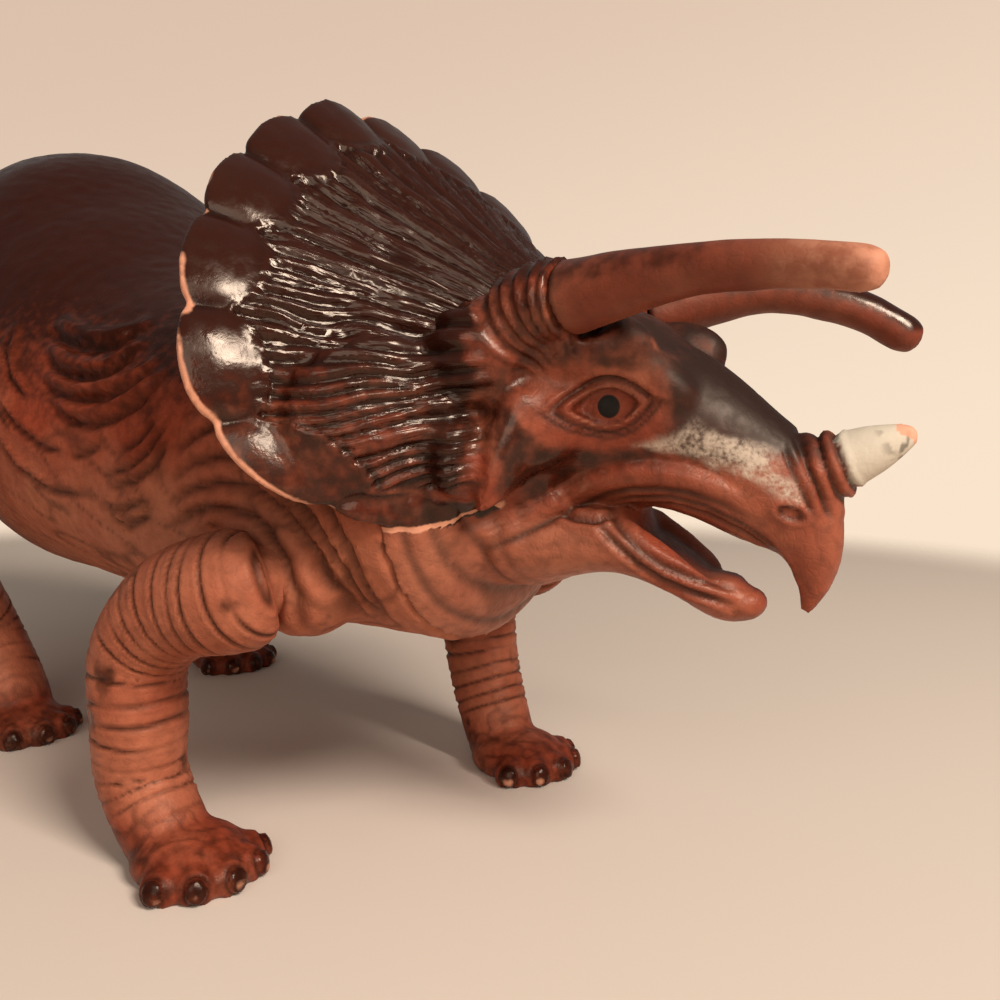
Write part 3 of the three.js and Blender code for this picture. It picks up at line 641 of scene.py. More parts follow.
ARCS = (
    [(-23, 67.5), (-16, 71.2), (-11, 72.8), (0.2, 72.2), (7, 69.3), (13, 65), (15.7, 57.8), (12.8, 49.6)],
    [(-22.3, 72.8), (-15.3, 76.3), (-7, 78.3), (2.5, 77.6), (11, 73.4), (17.5, 67), (19.7, 58), (15, 48)],
    [(-20.8, 78), (-13.7, 82), (-6, 83.7), (2, 82.6), (11, 79), (18.5, 72), (22.3, 64), (22, 55), (18, 46)],
    [(-19.4, 83.3), (-14, 87.4), (-9.3, 89.5), (0, 89), (12, 85), (21, 77.5), (25.3, 67.5), (24.6, 56.7),
     (20, 47)],
)


def sculpt_torso(torso, sizes):
    """Folds round the arms, smiling folds on the flanks and fine wrinkles all over."""
    skin = Sculpt(torso)
    strength = sizes.fold_depth
    bent = wobble(skin.points, 14, 0.45, 3) * np.array([1, 0, 1])
    side = ramp(np.abs(skin.points[:, 1]), 12, 20)
    for line in SMILES:
        skin.fold(flat(line) + UP * 2.4, width=1.9, depth=-1.3 * strength, places=bent, spread=side)
        skin.fold(flat(line), width=1.2, depth=1.6 * strength, places=bent, spread=side, lip=0.3)
    for line in SLANTS:
        skin.fold(flat(line) + UP * 1.8, width=1.4, depth=-0.7 * strength, places=bent, spread=side)
        skin.fold(flat(line), width=0.9, depth=0.9 * strength, places=bent, spread=side, lip=0.3)
    for line in ARCS:
        skin.fold(flat(line), width=1.0, depth=1.1 * strength, places=bent, spread=side, lip=0.5)

    # Fine wrinkles where smooth noise changes its sign, long along the flank
    x, y, z = skin.points.T
    drawn = np.stack([0.32 * (x - 0.45 * z), y, 1.1 * (z + 0.45 * x)], axis=1)
    fine = noise(drawn, 7, 11) + 0.35 * noise(drawn, 3.6, 12)
    low = 1 - ramp(z, 95, 135)
    front = ramp(x, -140, -60)
    skin.groove(fine * 4.5, width=0.55, depth=0.16 * strength, weight=0.12 + 0.5 * low * front, lip=0.4)
    skin.height += 0.12 * skin.noise(2.6, 5) + 0.5 * skin.noise(24, 6)

    # Paint: the dark wash comes down from the back, with redder paint under its edge
    height = skin.points[:, 2] + 8 * skin.noise(34, 8) + 2 * skin.noise(9, 9)
    skin.paint("wash", ramp(height, 84, 122))
    skin.paint("flush", 0.95 * ramp(height, 64, 100) + 0.15 * skin.noise(20, 21))
    skin.carve()


# Head, in its own frame on the brow

SNOUT_SHARES = np.array([
    [-0.2, 0.6, 0.5, 0.5],
    [0.133, 0.575, 0.42, 0.45],
    [0.367, 0.65, 0.355, 0.375],
    [0.567, 0.8, 0.26, 0.295],
    [0.717, 0.9625, 0.185, 0.25],
    [0.795, 1.14, 0.112, 0.145],
    [0.808, 1.3, 0.066, 0.078],
    [0.786, 1.44, 0.022, 0.022],
])
JAW_SHARES = np.array([
    [-0.05, 0.5, 0.5, 0.62],
    [0.35, 0.46, 0.45, 0.45],
    [0.62, 0.75, 0.34, 0.36],
    [0.85, 1.16, 0.19, 0.3],
    [0.98, 1.27, 0.06, 0.16],
])
RIM_SHARES = np.array([
    [0, 0.97, 1],
    [0.18, 0.95, 0.99],
    [0.32, 0.97, 0.93],
    [0.445, 1.01, 0.85],
    [0.57, 1.06, 0.75],
    [0.67, 1.065, 0.68],
    [0.78, 0.99, 0.52],
    [0.885, 0.85, 0.35],
    [0.96, 0.7, 0.17],
    [1, 0.6, 0.08],
])


def turn_z(points, angle):
    c, s = math.cos(angle), math.sin(angle)
    return np.asarray(points) @ np.array([[c, s, 0], [-s, c, 0], [0, 0, 1]])


def turn_x(points, angle):
    c, s = math.cos(angle), math.sin(angle)
    return np.asarray(points) @ np.array([[1, 0, 0], [0, c, s], [0, -s, c]])


def head_to_body(points):
    return turn_z(points, HEAD_TURN) + BROW


def body_to_head(points):
    return turn_z(np.asarray(points) - BROW, -HEAD_TURN)


NECK_SEAT_IN_HEAD = body_to_head(NECK_SEAT)
NECK_AXIS_IN_HEAD = turn_z(NECK_AXIS, -HEAD_TURN)


def snout():
    reach, drop, width, height = SNOUT_SHARES.T
    path = np.stack([reach * SNOUT_LENGTH, 0 * reach, -drop * SKULL_DEPTH], axis=1)
    sizes = np.stack([width * SKULL_WIDTH, height * SKULL_DEPTH, np.full(len(reach), 2.2)], axis=1)
    return limb(path, sizes)


def jaw():
    reach, drop, width, height = JAW_SHARES.T
    path = np.stack([reach * JAW_LENGTH, 0 * reach, -SKULL_DEPTH - drop * JAW_DROP], axis=1)
    sizes = np.stack([width * JAW_WIDTH, height * JAW_DROP, np.full(len(reach), 2.4)], axis=1)
    return limb(path, sizes)


def neck():
    start = NECK_SEAT_IN_HEAD + NECK_AXIS_IN_HEAD * CLEARANCE
    lead = start + NECK_AXIS_IN_HEAD * NECK_RADIUS / 8
    path = [start, lead, (-0.07 * SNOUT_LENGTH, 0, -0.79 * SKULL_DEPTH),
            (0.13 * SNOUT_LENGTH, 0, -0.73 * SKULL_DEPTH)]
    sizes = [(NECK_RADIUS, NECK_RADIUS, 2), (0.93 * NECK_RADIUS, 0.86 * NECK_RADIUS, 2),
             (0.53 * SKULL_WIDTH, 0.5 * SKULL_DEPTH, 2), (0.38 * SKULL_WIDTH, 0.42 * SKULL_DEPTH, 2)]
    return limb(path, sizes, rings=70, sides=96, normal=NECK_AXIS_IN_HEAD)


def rim_at(shares):
    """Radius and sweep of the frill's rim at shares of the half fan."""
    fine = spline(RIM_SHARES, np.linspace(0, 1, 400))
    radius = np.interp(shares, fine[:, 0], fine[:, 1]) * FRILL_RADIUS
    sweep = np.interp(shares, fine[:, 0], fine[:, 2]) * FRILL_SWEEP
    return radius, sweep


def lobe_at(share):
    """How far a place on the rim, from -1 to 1, stands inside its lobe: 0 at a notch, 1 in the middle."""
    return np.abs(np.sin(np.pi * LOBES * (share + 1) / 2)) ** 0.6


def frill():
    """The frill's closed sheet, before its ridges."""
    stations, rows = 460, 46
    share = np.linspace(-1, 1, stations)
    out = np.linspace(0, 1, rows)
    angle = (share * FAN)[:, None]
    radius, sweep = rim_at(np.abs(share))
    lobe = lobe_at(share)
    edge = (radius - LOBE_DEPTH * (1 - lobe))[:, None]
    reach = FRILL_ROOT + (edge - FRILL_ROOT) * out
    back = -sweep[:, None] * out ** DISH_SHARE
    depth = FRILL_THICKNESS * (1 + 1.6 * (1 - out)) + LOBE_SWELL * lobe[:, None] * out ** 4
    sheets = []
    for side in (0.5, -0.5):
        offset = depth * side
        sheets.append(np.stack([
            back + offset * 0.66,
            np.sin(angle) * (reach + offset * 0.5),
            HUB_HEIGHT + np.cos(angle) * (reach + offset * 0.5)], axis=2))
    rings = np.concatenate([sheets[0], sheets[1][:, ::-1]], axis=1)
    sides = rings.shape[1]
    points = np.vstack([rings.reshape(-1, 3), rings[0].mean(0)[None], rings[-1].mean(0)[None]])
    return turn_z(turn_x(points, FRILL_ROLL), FRILL_TURN), skin_faces(stations, sides)


def horn_seat(hand):
    return np.array([0.19 * SNOUT_LENGTH, hand * 0.5 * SKULL_WIDTH, -0.11 * SKULL_DEPTH])


def horn_direction(hand):
    return unit([1, hand * HORN_SPREAD, HORN_RISE])


def ribbed(base, direction, length, low, high, ribs, depth):
    """A cone with rounded rings round it."""
    share = np.linspace(0, 1, ribs * 10 + 1)
    swell = np.abs(np.sin(np.pi * ribs * share)) ** 0.7
    radius = low + (high - low) * share + depth * swell
    profile = [(low / 2, -low / 2), *zip(radius, share * length)]
    return turned(profile, base, direction)


def collar_line(hand):
    """The line that the collar of a brow horn follows, from the horn back into the temple."""
    seat_point, direction = horn_seat(hand), horn_direction(hand)
    return np.array([seat_point - direction * back - UP * drop - LEFT * hand * inward
                     for back, drop, inward in ((0, 0, 0), (4.5, 0.2, 0), (9.5, 2, 0.6), (15.5, 6, 1.8))])


def brow_collar(hand):
    girth = HORN_RADIUS + COLLAR_RING_DEPTH / 2
    sizes = [(girth, girth, 2), (girth + 0.4, girth + 0.4, 2), (girth + 1, girth + 1, 2), (girth, girth, 2)]
    return limb(collar_line(hand), sizes)


NOSE_HORN_SEAT = np.array([0.76 * SNOUT_LENGTH, 0, -0.86 * SKULL_DEPTH])
NOSE_HORN_AXIS = unit([0.88, 0, 0.4])
NOSE_HORN_RIBS = 3
NOSE_HORN_RIB_DEPTH = 0.8

# The nose horn's cone: radius and height as shares
NOSE_HORN_SHARES = ((1, -0.1), (1, 0), (0.8, 0.45), (0.48, 0.82), (0.28, 0.97), (0.02, 1))


def nose_horn():
    collar = NOSE_HORN_RADIUS * 1.6
    tip = NOSE_HORN_SEAT + NOSE_HORN_AXIS * collar
    cone = rounded(NOSE_HORN_SHARES, NOSE_HORN_RADIUS, NOSE_HORN_LENGTH, tip, NOSE_HORN_AXIS)
    return [ribbed(NOSE_HORN_SEAT, NOSE_HORN_AXIS, collar, NOSE_HORN_RADIUS * 1.25, NOSE_HORN_RADIUS,
                   NOSE_HORN_RIBS, NOSE_HORN_RIB_DEPTH), cone]


def cheek_spike(hand):
    root = np.array([0.03 * SNOUT_LENGTH, hand * 0.36 * SKULL_WIDTH, -0.6 * SKULL_DEPTH])
    direction = unit([-0.25, hand * 0.55, -0.8])
    shares = np.array([[0, 0.5, 0.3], [0.45, 0.36, 0.22], [0.8, 0.19, 0.13], [1, 0.05, 0.05]])
    path = root + direction * shares[:, :1] * CHEEK_SPIKE_LENGTH
    sizes = np.column_stack([shares[:, 1:] * CHEEK_SPIKE_LENGTH, np.full(4, 2.0)])
    return limb(path, sizes, rings=40, sides=32)


# Lumps of clay that round the head: the middle of each and its radii
SKULL_DOME = ((7.2, 0, -16.8), (19.8, 18.5, 13.6))
THROAT = ((-5, 0, -46.5), (14, 16.5, 10.5))
JAW_TIP = ((36.5, 0, -56.8), (4.2, 4.6, 3.1))

# Places that are softened on both sides, as a centre drawn for the left side and a reach: the root of
# the frill, the cheek, the brow, the corner of the jaw and the root of the collar
SOFT_SPOTS = (((-17, 29, -24), 24), ((1, 18, -27), 15), ((20, 14, -13), 15), ((-4, 11, -48), 20),
              ((-4, 21, -13), 12))
HEAD_SOFT_ROUNDS = 45

# Share of the head's faces that is kept; those behind the frill and in the neck are merged first
HEAD_SHARE = 0.71


def side_lumps(name):
    """Lumps of one side: brow, temple, root of the spike, cheek, collar's root, horn's pad, snout's edge."""
    hand = SIDES[name]
    brow = BROW_REACH[name]
    ahead = brow - BROW_REACH["right"]
    lid = (0.19 * SNOUT_LENGTH, 0.14 * SKULL_WIDTH, 0.16 * SKULL_DEPTH)
    return [
        ball((brow + 6, hand * 0.34 * SKULL_WIDTH, -0.3 * SKULL_DEPTH), lid),
        ball((-19.5, hand * 31, -24), (17, 5, 14), unit([-0.73, hand * 0.69, 0])),
        ball((-8, hand * 22, -31), (5, 9, 8)),
        ball((1, hand * 18, -24.5), (12, 5, 9.5)),
        ball((-6, hand * 21.5, -13), (9, 7.5, 9)),
        ball((brow, hand * 15.5, -12.6), (11, 6.5, 6)),
        ball((19 + ahead, hand * 11.5, -15.4 - 0.56 * ahead), (13, 6, 5.5), unit([0.87, 0, -0.49])),
    ]


def build_head(context):
    sizes = context.scene.sculpt_sizes
    hands = SIDES.values()
    forms = [snout(), jaw(), frill(), *nose_horn()]
    for hand in hands:
        forms += [brow_collar(hand), cheek_spike(hand)]
    forms += [ball(*SKULL_DOME), ball(*THROAT), ball(*JAW_TIP)]
    for name in SIDES:
        forms += side_lumps(name)
    head = clay("head_skin", forms)
    head = fused(head, sizes.head_grain, 0)
    spots = [(seat(centre, hand), reach) for hand in hands for centre, reach in SOFT_SPOTS]
    softened(head, spots, HEAD_SOFT_ROUNDS)
    room = NECK_RADIUS + CLEARANCE
    neck_room = [(NECK_RADIUS * 1.36 + CLEARANCE, -2 * NECK_RADIUS), (room, 0), (room, CLEARANCE)]
    cut(head, *turned(neck_room, NECK_SEAT_IN_HEAD, NECK_AXIS_IN_HEAD))
    head = clay("head_skin", [head, neck(), plug(NECK_BORE, NECK_SEAT_IN_HEAD, NECK_AXIS_IN_HEAD)])
    head = fused(head, sizes.head_grain, 0)
    for hand in hands:
        cut(head, *disc(HORN_RADIUS + HORN_RELIEF, 0, COLLAR_RADIUS, horn_seat(hand), horn_direction(hand)))
    head = fused(head, sizes.head_grain, 3)
    points = points_of(head)
    _, _, _, _, out, over = frill_place(points)
    behind = (over < -0.9) & (out > 0.2)
    inside_neck = (points - NECK_SEAT_IN_HEAD) @ NECK_AXIS_IN_HEAD < 0.4
    grouped(head, 1.0 * (behind | inside_neck), "DECIMATE", ratio=HEAD_SHARE)
    sculpt_head(head, sizes)
    set_points(head, head_to_body(points_of(head)))
    return finished(head, "head", "head", painted("head"))


# Lines drawn on the side of the face, as forward and up
CHEEK_LINE = ((-8.2, -44.6), (-5.2, -43.9), (-0.9, -42), (3.4, -39.9), (7.4, -37.6), (11, -35.4),
              (14.6, -33.9), (19.1, -32.7), (24, -32.4), (29, -33), (34, -34.8), (39, -38))
LIP_LINE = ((12.8, -41.2), (18.7, -40), (25.7, -39.5), (31.2, -40.8), (37.4, -44.2), (41.9, -47.7),
            (44.6, -52), (46, -56))
MOUTH_CORNER = ((5.5, -41), (9, -42.1), (12.8, -42.4), (15.6, -41.2))
JAW_LINE = ((13.2, -42.2), (15.2, -44.4), (17.5, -46.6), (20.8, -49.8), (24.8, -52.4), (28.9, -54.1),
            (32.9, -55.5), (36, -56.8))
# Outline of the scratched patch that carries a painted silvery sheen
SCRATCH_AND_SHEEN_PATCH = ((21, -28.2), (27, -27), (30.5, -24), (34, -26.2), (38.5, -27.8), (42.5, -29.6), (47.6, -38.2),
               (45.4, -38.8), (40.6, -35), (36, -33), (31.4, -31.2), (24.3, -30.2))
EYE_BAND = ((-3, -22), (0, -31), (-0.9, -42), (3.4, -39.9), (7.4, -37.6), (11, -35.4), (14.6, -33.9),
            (19.1, -32.7), (25, -32.2), (24, -28.4), (14, -29.4), (8, -28.4), (5, -25), (3, -20))
JUGAL_FACET = ((-8, -31), (-4.5, -29.6), (-0.6, -30), (-0.8, -37), (-4.8, -42), (-7.4, -38))
EYE = (16.9, -21.8)
NOSTRIL = (45.4, -39.8)
BROW_WASH_HEIGHT = -17


def inside(points, outline):
    """Signed distance from a closed outline drawn on the side of the face, positive inside."""
    outline = flat((*outline, outline[0]))
    places = points * np.array([1, 0, 1])
    gap, _ = distance_to(places, outline)
    crossings = np.zeros(len(points), bool)
    for (ax, _, az), (bx, _, bz) in zip(outline[:-1], outline[1:]):
        between = (az > places[:, 2]) != (bz > places[:, 2])
        cross = ax + (places[:, 2] - az) * (bx - ax) / (bz - az if bz != az else 1)
        crossings ^= between & (places[:, 0] < cross)
    return np.where(crossings, gap, -gap)


def frill_place(points):
    """Share of the fan, radius, rim radius, way out and height over the sheet, for every point."""
    places = turn_x(turn_z(points, -FRILL_TURN), -FRILL_ROLL)
    angle = np.arctan2(places[:, 1], places[:, 2] - HUB_HEIGHT)
    radius = np.hypot(places[:, 1], places[:, 2] - HUB_HEIGHT)
    share = np.clip(angle / FAN, -1, 1)
    rim, sweep = rim_at(np.abs(share))
    out = (radius - FRILL_ROOT) / (rim - FRILL_ROOT)
    over = places[:, 0] + sweep * np.clip(out, 0, 1) ** DISH_SHARE
    return angle, share, radius, rim, out, over


def chance(index, seed=0):
    """A fixed random number from 0 to 1 for each whole number."""
    value = np.sin(index * 12.9898 + seed * 78.233) * SCATTER
    return value - np.floor(value)


RIDGE_PAIRS = 38
PETAL_DEPTH = 10.5
PETAL_WAIST = 5.4


def collar_place(points, hand):
    """How far back along a brow horn's collar each point lies and its distance from the collar's line."""
    line = spline(collar_line(hand), np.linspace(0, 1, 40))
    gap, along = distance_to(points, line)
    return along * COLLAR_LENGTH, gap


def frill_region(skin):
    """Where the ridged sheet of the frill is, with the temples in front of it."""
    angle, _, radius, rim, out, over = frill_place(skin.points)
    x, _, z = skin.points.T
    sheet = (1 - ramp(np.abs(over), 3.2, 5)) * ramp(out, 0.12, 0.3) * (1 - ramp(radius - rim, 1.2, 2.2))
    rough = 3 * skin.noise(5, 48)
    temple = (over > 0) * ramp(-x + rough, 0, 7) * ramp(z, -39, -35) * ramp(radius, 7, 13)
    region = np.maximum(sheet, temple) * (1 - ramp(np.abs(angle), FAN + 0.02, FAN + 0.08))
    for hand in SIDES.values():
        along, apart = collar_place(skin.points, hand)
        region = region * (1 - (1 - ramp(apart, 8.5, 10)) * (1 - ramp(along, 14, 16)))
    return region


def sculpt_frill(skin, depth):
    """Branching ridges that fan out to a band of smooth petals along the rim."""
    angle, share, radius, rim, _, _ = frill_place(skin.points)
    region = frill_region(skin)
    lobe = LOBES * (share + 1) / 2
    side = 2 * (lobe - np.floor(lobe)) - 1
    inset = rim - LOBE_DEPTH * (1 - lobe_at(share)) - radius
    line = PETAL_DEPTH - PETAL_WAIST * np.abs(side) ** 2.5 + 0.8 * skin.noise(7, 40)

    # Grooves between the ridges: one at each side of a pair, one more where the pair has branched
    flow = np.stack([angle * 2.4, radius / 15, 0 * angle], axis=1)
    ripple = np.stack([angle * 8, radius / 6.5, 0 * angle], axis=1)
    bent = angle + 0.06 * noise(flow, 1, 41) + 0.03 * noise(ripple, 1, 42)
    place = (bent + FAN) / (2 * FAN) * RIDGE_PAIRS
    pair = np.floor(place)
    part = place - pair
    width = 2 * FAN * radius / RIDGE_PAIRS
    middle = 0.5 + 0.3 * (chance(pair, 1) - 0.5)
    branch = 18 + 26 * chance(pair, 2)
    gap = np.minimum(part, 1 - part) * width
    gap = np.minimum(gap, np.abs(part - middle) * width + 3 * (1 - ramp(radius, branch - 2, branch + 5)))
    gap += 0.2 * noise(ripple * 2, 1, 44)
    valley = bell(gap, 0.58)
    inner = ramp(inset, line - 0.2, line + 1.0)
    field = region * inner * ramp(radius, 8, 15)
    crown = 1 - bell(gap, 0.88)
    skin.height += field * depth * (1.6 * crown - 0.9 + 0.3 * noise(ripple * 2.5, 1, 43))
    # The dark in the grooves between the ridges is painted shade
    skin.paint("crease", field * valley)
    skin.masks["ridged"] = field
    skin.masks["strand"] = place * 2
    skin.masks["reach"] = radius / 16

    # The smooth petals and the thin raised line that bounds them
    petal = region * (1 - inner)
    across = np.clip(inset / np.maximum(line, 1), 0, 1)
    bulge = np.sin(np.pi * across) * (1 - side ** 4)
    skin.height += petal * (0.55 * bulge + 0.1 * skin.noise(2.4, 45))
    skin.height += region * 0.4 * bell(inset - line, 0.55)
    skin.groove(inset - line - 1.0, width=0.42, depth=0.35, weight=region, lip=0)
    # Painted shade along the raised line that bounds the petals
    skin.paint("crease", 0.5 * region * bell(inset - line + 0.9, 0.5))
    notch = (1 - np.abs(side)) * np.pi * rim / LOBES * 0.7
    skin.groove(notch, width=1.1, depth=0.3, weight=petal * (1 - ramp(inset, 1, 6)), lip=0)

    # Paint: a rubbed rim, widest at the bottom of the right side, and a dark wash that thins low down
    low = ramp(-share, 0.5, 0.66) * (1 - 0.5 * ramp(-share, 0.8, 0.9))
    reach = -0.8 + 1.3 * low + 2.2 * ramp(skin.noise(8, 46), 0.3, 0.7) * (0.4 + 0.6 * low)
    edge = (1 - ramp(inset, reach - 0.6, reach + 0.6)) * (inset > -2)
    skin.paint("rub", region * edge)
    dim = ramp(-skin.points[:, 2], 6, 30) * (1 - 0.8 * ramp(skin.points[:, 0], -18, -8))
    skin.paint("wash", region * (1 - dim * (0.3 + 0.45 * inner * crown)))
    skin.paint("flush", region * dim * 0.7)


def sculpt_eye(skin, side):
    """A domed eye between lids that meet in pointed corners."""
    x, z = skin.points[:, 0] - EYE[0], skin.points[:, 2] - EYE[1]
    x, z = x + 0.12 * z, z - 0.12 * x
    wide, tall = np.where(x < 0, 5.7, 4.8), 3.0
    lid = (np.abs(z) + np.sqrt(z ** 2 + 4 * (tall * x / wide) ** 2)) / (2 * tall)
    near = side * (1 - ramp(lid, 1.8, 2.2))
    ball_gap = np.hypot(x / 3.9, z / 3.1)
    dome = np.sqrt(np.maximum(1 - ball_gap ** 2, 0)) * 1.5 - 1.0
    skin.height += near * (1 - ramp(lid, 0.88, 1.0)) * dome
    # Painted shade in the groove where the lids meet the eyeball
    skin.paint("crease", 0.8 * near * bell(lid - 1, 0.09))
    above, below = ramp(z, -0.6, 0.6), ramp(-z, -0.6, 0.6)
    skin.height += near * (0.95 * above + 0.6 * below) * bell(lid - 1.22, 0.17)
    for place, depth, where in ((1.5, 0.75, above), (1.52, 0.6, below), (1.86, 0.4, below)):
        skin.groove((lid - place) * 3.2, width=0.48, depth=depth, weight=near * where, lip=0.5)
    spot = np.hypot(x + 0.2, z * 0.95 + 0.2)
    skin.paint("pupil", side * np.clip((2.9 - spot) / 2, 0, 1))
    skin.paint("flush", near * (1 - ramp(lid, 0.9, 1.1)))
    skin.paint("rub", 0.4 * near * below * bell(lid - 1.22, 0.12))
    return near


def sculpt_face(skin, strength):
    """Eyes, cheeks, lips, nostrils and the rings of the nose horn."""
    x, y, z = skin.points.T
    side = ramp(np.abs(skin.normals[:, 1]), 0.12, 0.4) * ramp(x, -12, -6)
    near_eye = sculpt_eye(skin, side * ramp(x, 2, 6))
    drawn = wobble(skin.points, 9, 0.25, 50) * np.array([1, 0, 1])

    # The cheek ridge: the face steps back above it
    line = flat(CHEEK_LINE)
    gap, along = distance_to(drawn, line)
    above = z - np.interp(x, line[:, 0], line[:, 2])
    band = side * np.clip(8 * (1 - along), 0, 1) * (x > -9)
    step = bell(above, 5) * np.where(above > 0, -1, 0.35)
    skin.height += 1.5 * band * step * ramp(np.abs(above), 0, 0.9)
    skin.paint("rub", 0.3 * band * bell(gap - 0.5, 0.6) * (above < 0.5) * (x < 16))
    skin.fold(line - UP * 3.4, width=0.7, depth=0.35, places=drawn, spread=side)

    for line, lift, width, depth in (
            (LIP_LINE, 0.9, 0.45, 0.55), (LIP_LINE, 2.3, 0.45, 0.35), (MOUTH_CORNER, 0, 0.55, 0.9),
            (JAW_LINE, 0, 0.7, 0.8), (JAW_LINE, 2.6, 0.7, 0.6)):
        skin.fold(flat(line) + UP * lift, width, depth * strength, drawn, side, lip=0.6)

    # The floor of the open mouth, sunk, painted red and darkened with painted shade in its hollow
    open_jaw = ramp(x, 12, 18) * (1 - ramp(x, 31, 36)) * ramp(-z, 41, 43)
    floor = open_jaw * ramp(skin.normals[:, 2], 0.1, 0.6) * (1 - ramp(np.abs(y), 5, 9))
    skin.height -= 2.6 * floor
    skin.paint("flush", floor)
    skin.paint("crease", 0.8 * floor)

    # Nostril, its hole darkened with painted shade
    ring = np.hypot((x - NOSTRIL[0]) / 2.0, (z - NOSTRIL[1] + 0.25 * (x - NOSTRIL[0])) / 1.2)
    skin.height += side * (0.45 * bell(ring - 1.45, 0.35) - 1.0 * np.exp(-(ring / 0.85) ** 4))
    skin.height += side * 0.7 * bell(ring, 0.4)
    skin.paint("crease", side * bell(ring - 0.85, 0.25))

    # Cheek spike: a flat red facet between two ridges
    facet = inside(skin.points, JUGAL_FACET)
    skin.height -= side * 0.45 * ramp(facet, -0.6, 1.6)
    skin.paint("flush", side * ramp(facet, -0.4, 0.4))

    # Paint: dark above the brow line, a dark band under the eye, and before it a scratched patch with a
    # painted silvery sheen
    rough = drawn[:, 2] + 1.6 * skin.noise(5, 52)
    beak = ramp(x, 44, 50)
    top = ramp(rough, BROW_WASH_HEIGHT - 3, BROW_WASH_HEIGHT + 5) * ramp(skin.normals[:, 2], 0.1, 0.7)
    muzzle = ramp(x, 22, 30) * ramp(rough, -34, -28) * (1 - 0.5 * beak)
    skin.paint("wash", np.maximum(0.8 * top, 0.95 * muzzle) * ramp(x, -9, 0) * (1 - 0.5 * near_eye))
    skin.paint("wash", 0.75 * ramp(np.abs(y), 9, 12) * ramp(inside(drawn, EYE_BAND), -1.6, 2.4))
    skin.paint("wash", 0.55 * side * ramp(rough, -18.5, -14.5) * ramp(x, -2, 5) * (1 - near_eye))
    skin.masks["flush"] *= 1 - 0.6 * side * ramp(-above, 0, 1.5) * ramp(along, 0, 0.2)
    dull = ramp(x, 16, 24) * ramp(skin.normals[:, 2], 0.1, 0.5) * ramp(z, -38, -32)
    skin.paint("crease", 0.9 * dull * (1 - beak))
    skin.paint("satin", np.maximum(dull, ramp(x, 14, 20) * ramp(z, -34, -26)))
    patch = inside(drawn + 0.9 * skin.noise(2.2, 53)[:, None], SCRATCH_AND_SHEEN_PATCH)
    skin.paint("scuff", side * ramp(patch, -0.9, 1.3))


def sculpt_collars(skin):
    """Raised rings round the roots of the brow horns and of the nose horn."""
    for hand in SIDES.values():
        along, apart = collar_place(skin.points, hand)
        outer = ramp(hand * skin.normals[:, 1] + 0.6 * skin.normals[:, 2], -0.1, 0.5)
        near = (1 - ramp(apart, 9, 10.5)) * ramp(apart, 4.5, 5.5)
        near = near * ramp(along, 0.3, 0.8) * (1 - ramp(along, 15, 16))
        for k in range(COLLAR_RINGS + 1):
            ring = 0.9 + 14.2 * k / COLLAR_RINGS
            ridge = bell(along - ring, 0.42)
            skin.height += near * (0.2 + 0.8 * outer) * 0.7 * ridge
            # Painted shade in the grooves between the rings
            skin.paint("crease", 0.6 * near * bell(along - ring - 0.85, 0.4))
        skin.paint("wash", near * (0.3 + 0.3 * ramp(skin.normals[:, 2], 0.1, 0.8)))
        skin.paint("flush", 0.6 * near)
    way = skin.points - NOSE_HORN_SEAT
    along = way @ NOSE_HORN_AXIS
    apart = np.linalg.norm(way - along[:, None] * NOSE_HORN_AXIS, axis=1)
    near = (1 - ramp(apart, 8, 9.5)) * ramp(along, 0, 0.6)
    uneven = 0.5 * skin.noise(4, 60)
    for ring in (0.4, 2.9, 5.6, 8.2):
        skin.groove(along - ring - uneven, width=0.5, depth=0.6, weight=near, lip=0.4)
    edge = 8.6 + 0.8 * skin.noise(2.4, 61)
    skin.paint("bone", near * ramp(along, edge - 0.15, edge + 0.15))
    tip = 8 + NOSE_HORN_LENGTH
    worn = along + 2.2 * skin.noise(2.2, 62)
    skin.paint("rub", near * ramp(worn, tip - 2.2, tip - 1.4))
    specks = ramp(skin.noise(1.1, 63), 0.35, 0.5) * ramp(along, tip - 7, tip - 3)
    skin.paint("crease", 0.8 * near * specks)


def sculpt_nape(skin, strength):
    """Slanted wrinkles in front of the neck seam."""
    bent = wobble(skin.points, 14, 0.6, 70)
    along = (bent - NECK_SEAT_IN_HEAD) @ NECK_AXIS_IN_HEAD
    apart = np.linalg.norm(bent - NECK_SEAT_IN_HEAD - along[:, None] * NECK_AXIS_IN_HEAD, axis=1)
    low = ramp(-skin.points[:, 2], 36, 41) * (1 - ramp(skin.points[:, 0], 6, 14)) * ramp(apart, 12, 16)
    fan = 1 + 0.25 * ramp(-skin.points[:, 2], 40, 68)
    for ring in (3.6, 7.2, 11, 14.6, 18.6, 22.6):
        weight = low * (along > 1) * (1 - ramp(along, 9, 24))
        skin.groove(along - ring * fan, width=0.8, depth=0.5 * strength, weight=0.75 * weight, lip=0.3)


def sculpt_head(head, sizes):
    """All that is carved and painted on the head, from the frill to the nape."""
    skin = Sculpt(head)
    sculpt_frill(skin, sizes.ridge_depth)
    sculpt_face(skin, sizes.fold_depth)
    sculpt_collars(skin)
    sculpt_nape(skin, sizes.fold_depth)
    fine = skin.noise(3.4, 71) + 0.5 * skin.noise(1.8, 72)
    plain = (1 - frill_region(skin)) * (1 - skin.masks["bone"]) * (1 - skin.masks["pupil"])
    skin.groove(fine * 2.4, width=0.42, depth=0.14, weight=plain * 0.3, lip=0.4)
    x, _, z = skin.points.T
    throat = ramp(-z, 40, 46) * (1 - ramp(x, 10, 22))
    skin.paint("flush", (0.75 + 0.4 * skin.noise(9, 73)) * (1 - 0.85 * throat))
    facet = ramp(inside(skin.points, JUGAL_FACET), -2.5, 1.5)
    temple = (1 - ramp(x + 3 * skin.noise(7, 74), -1, 8)) * ramp(z, -41, -35) * (x > -30)
    skin.paint("wash", 0.6 * temple * (1 - 0.8 * facet))
    skin.carve()


# Horns: way along and girth, as shares

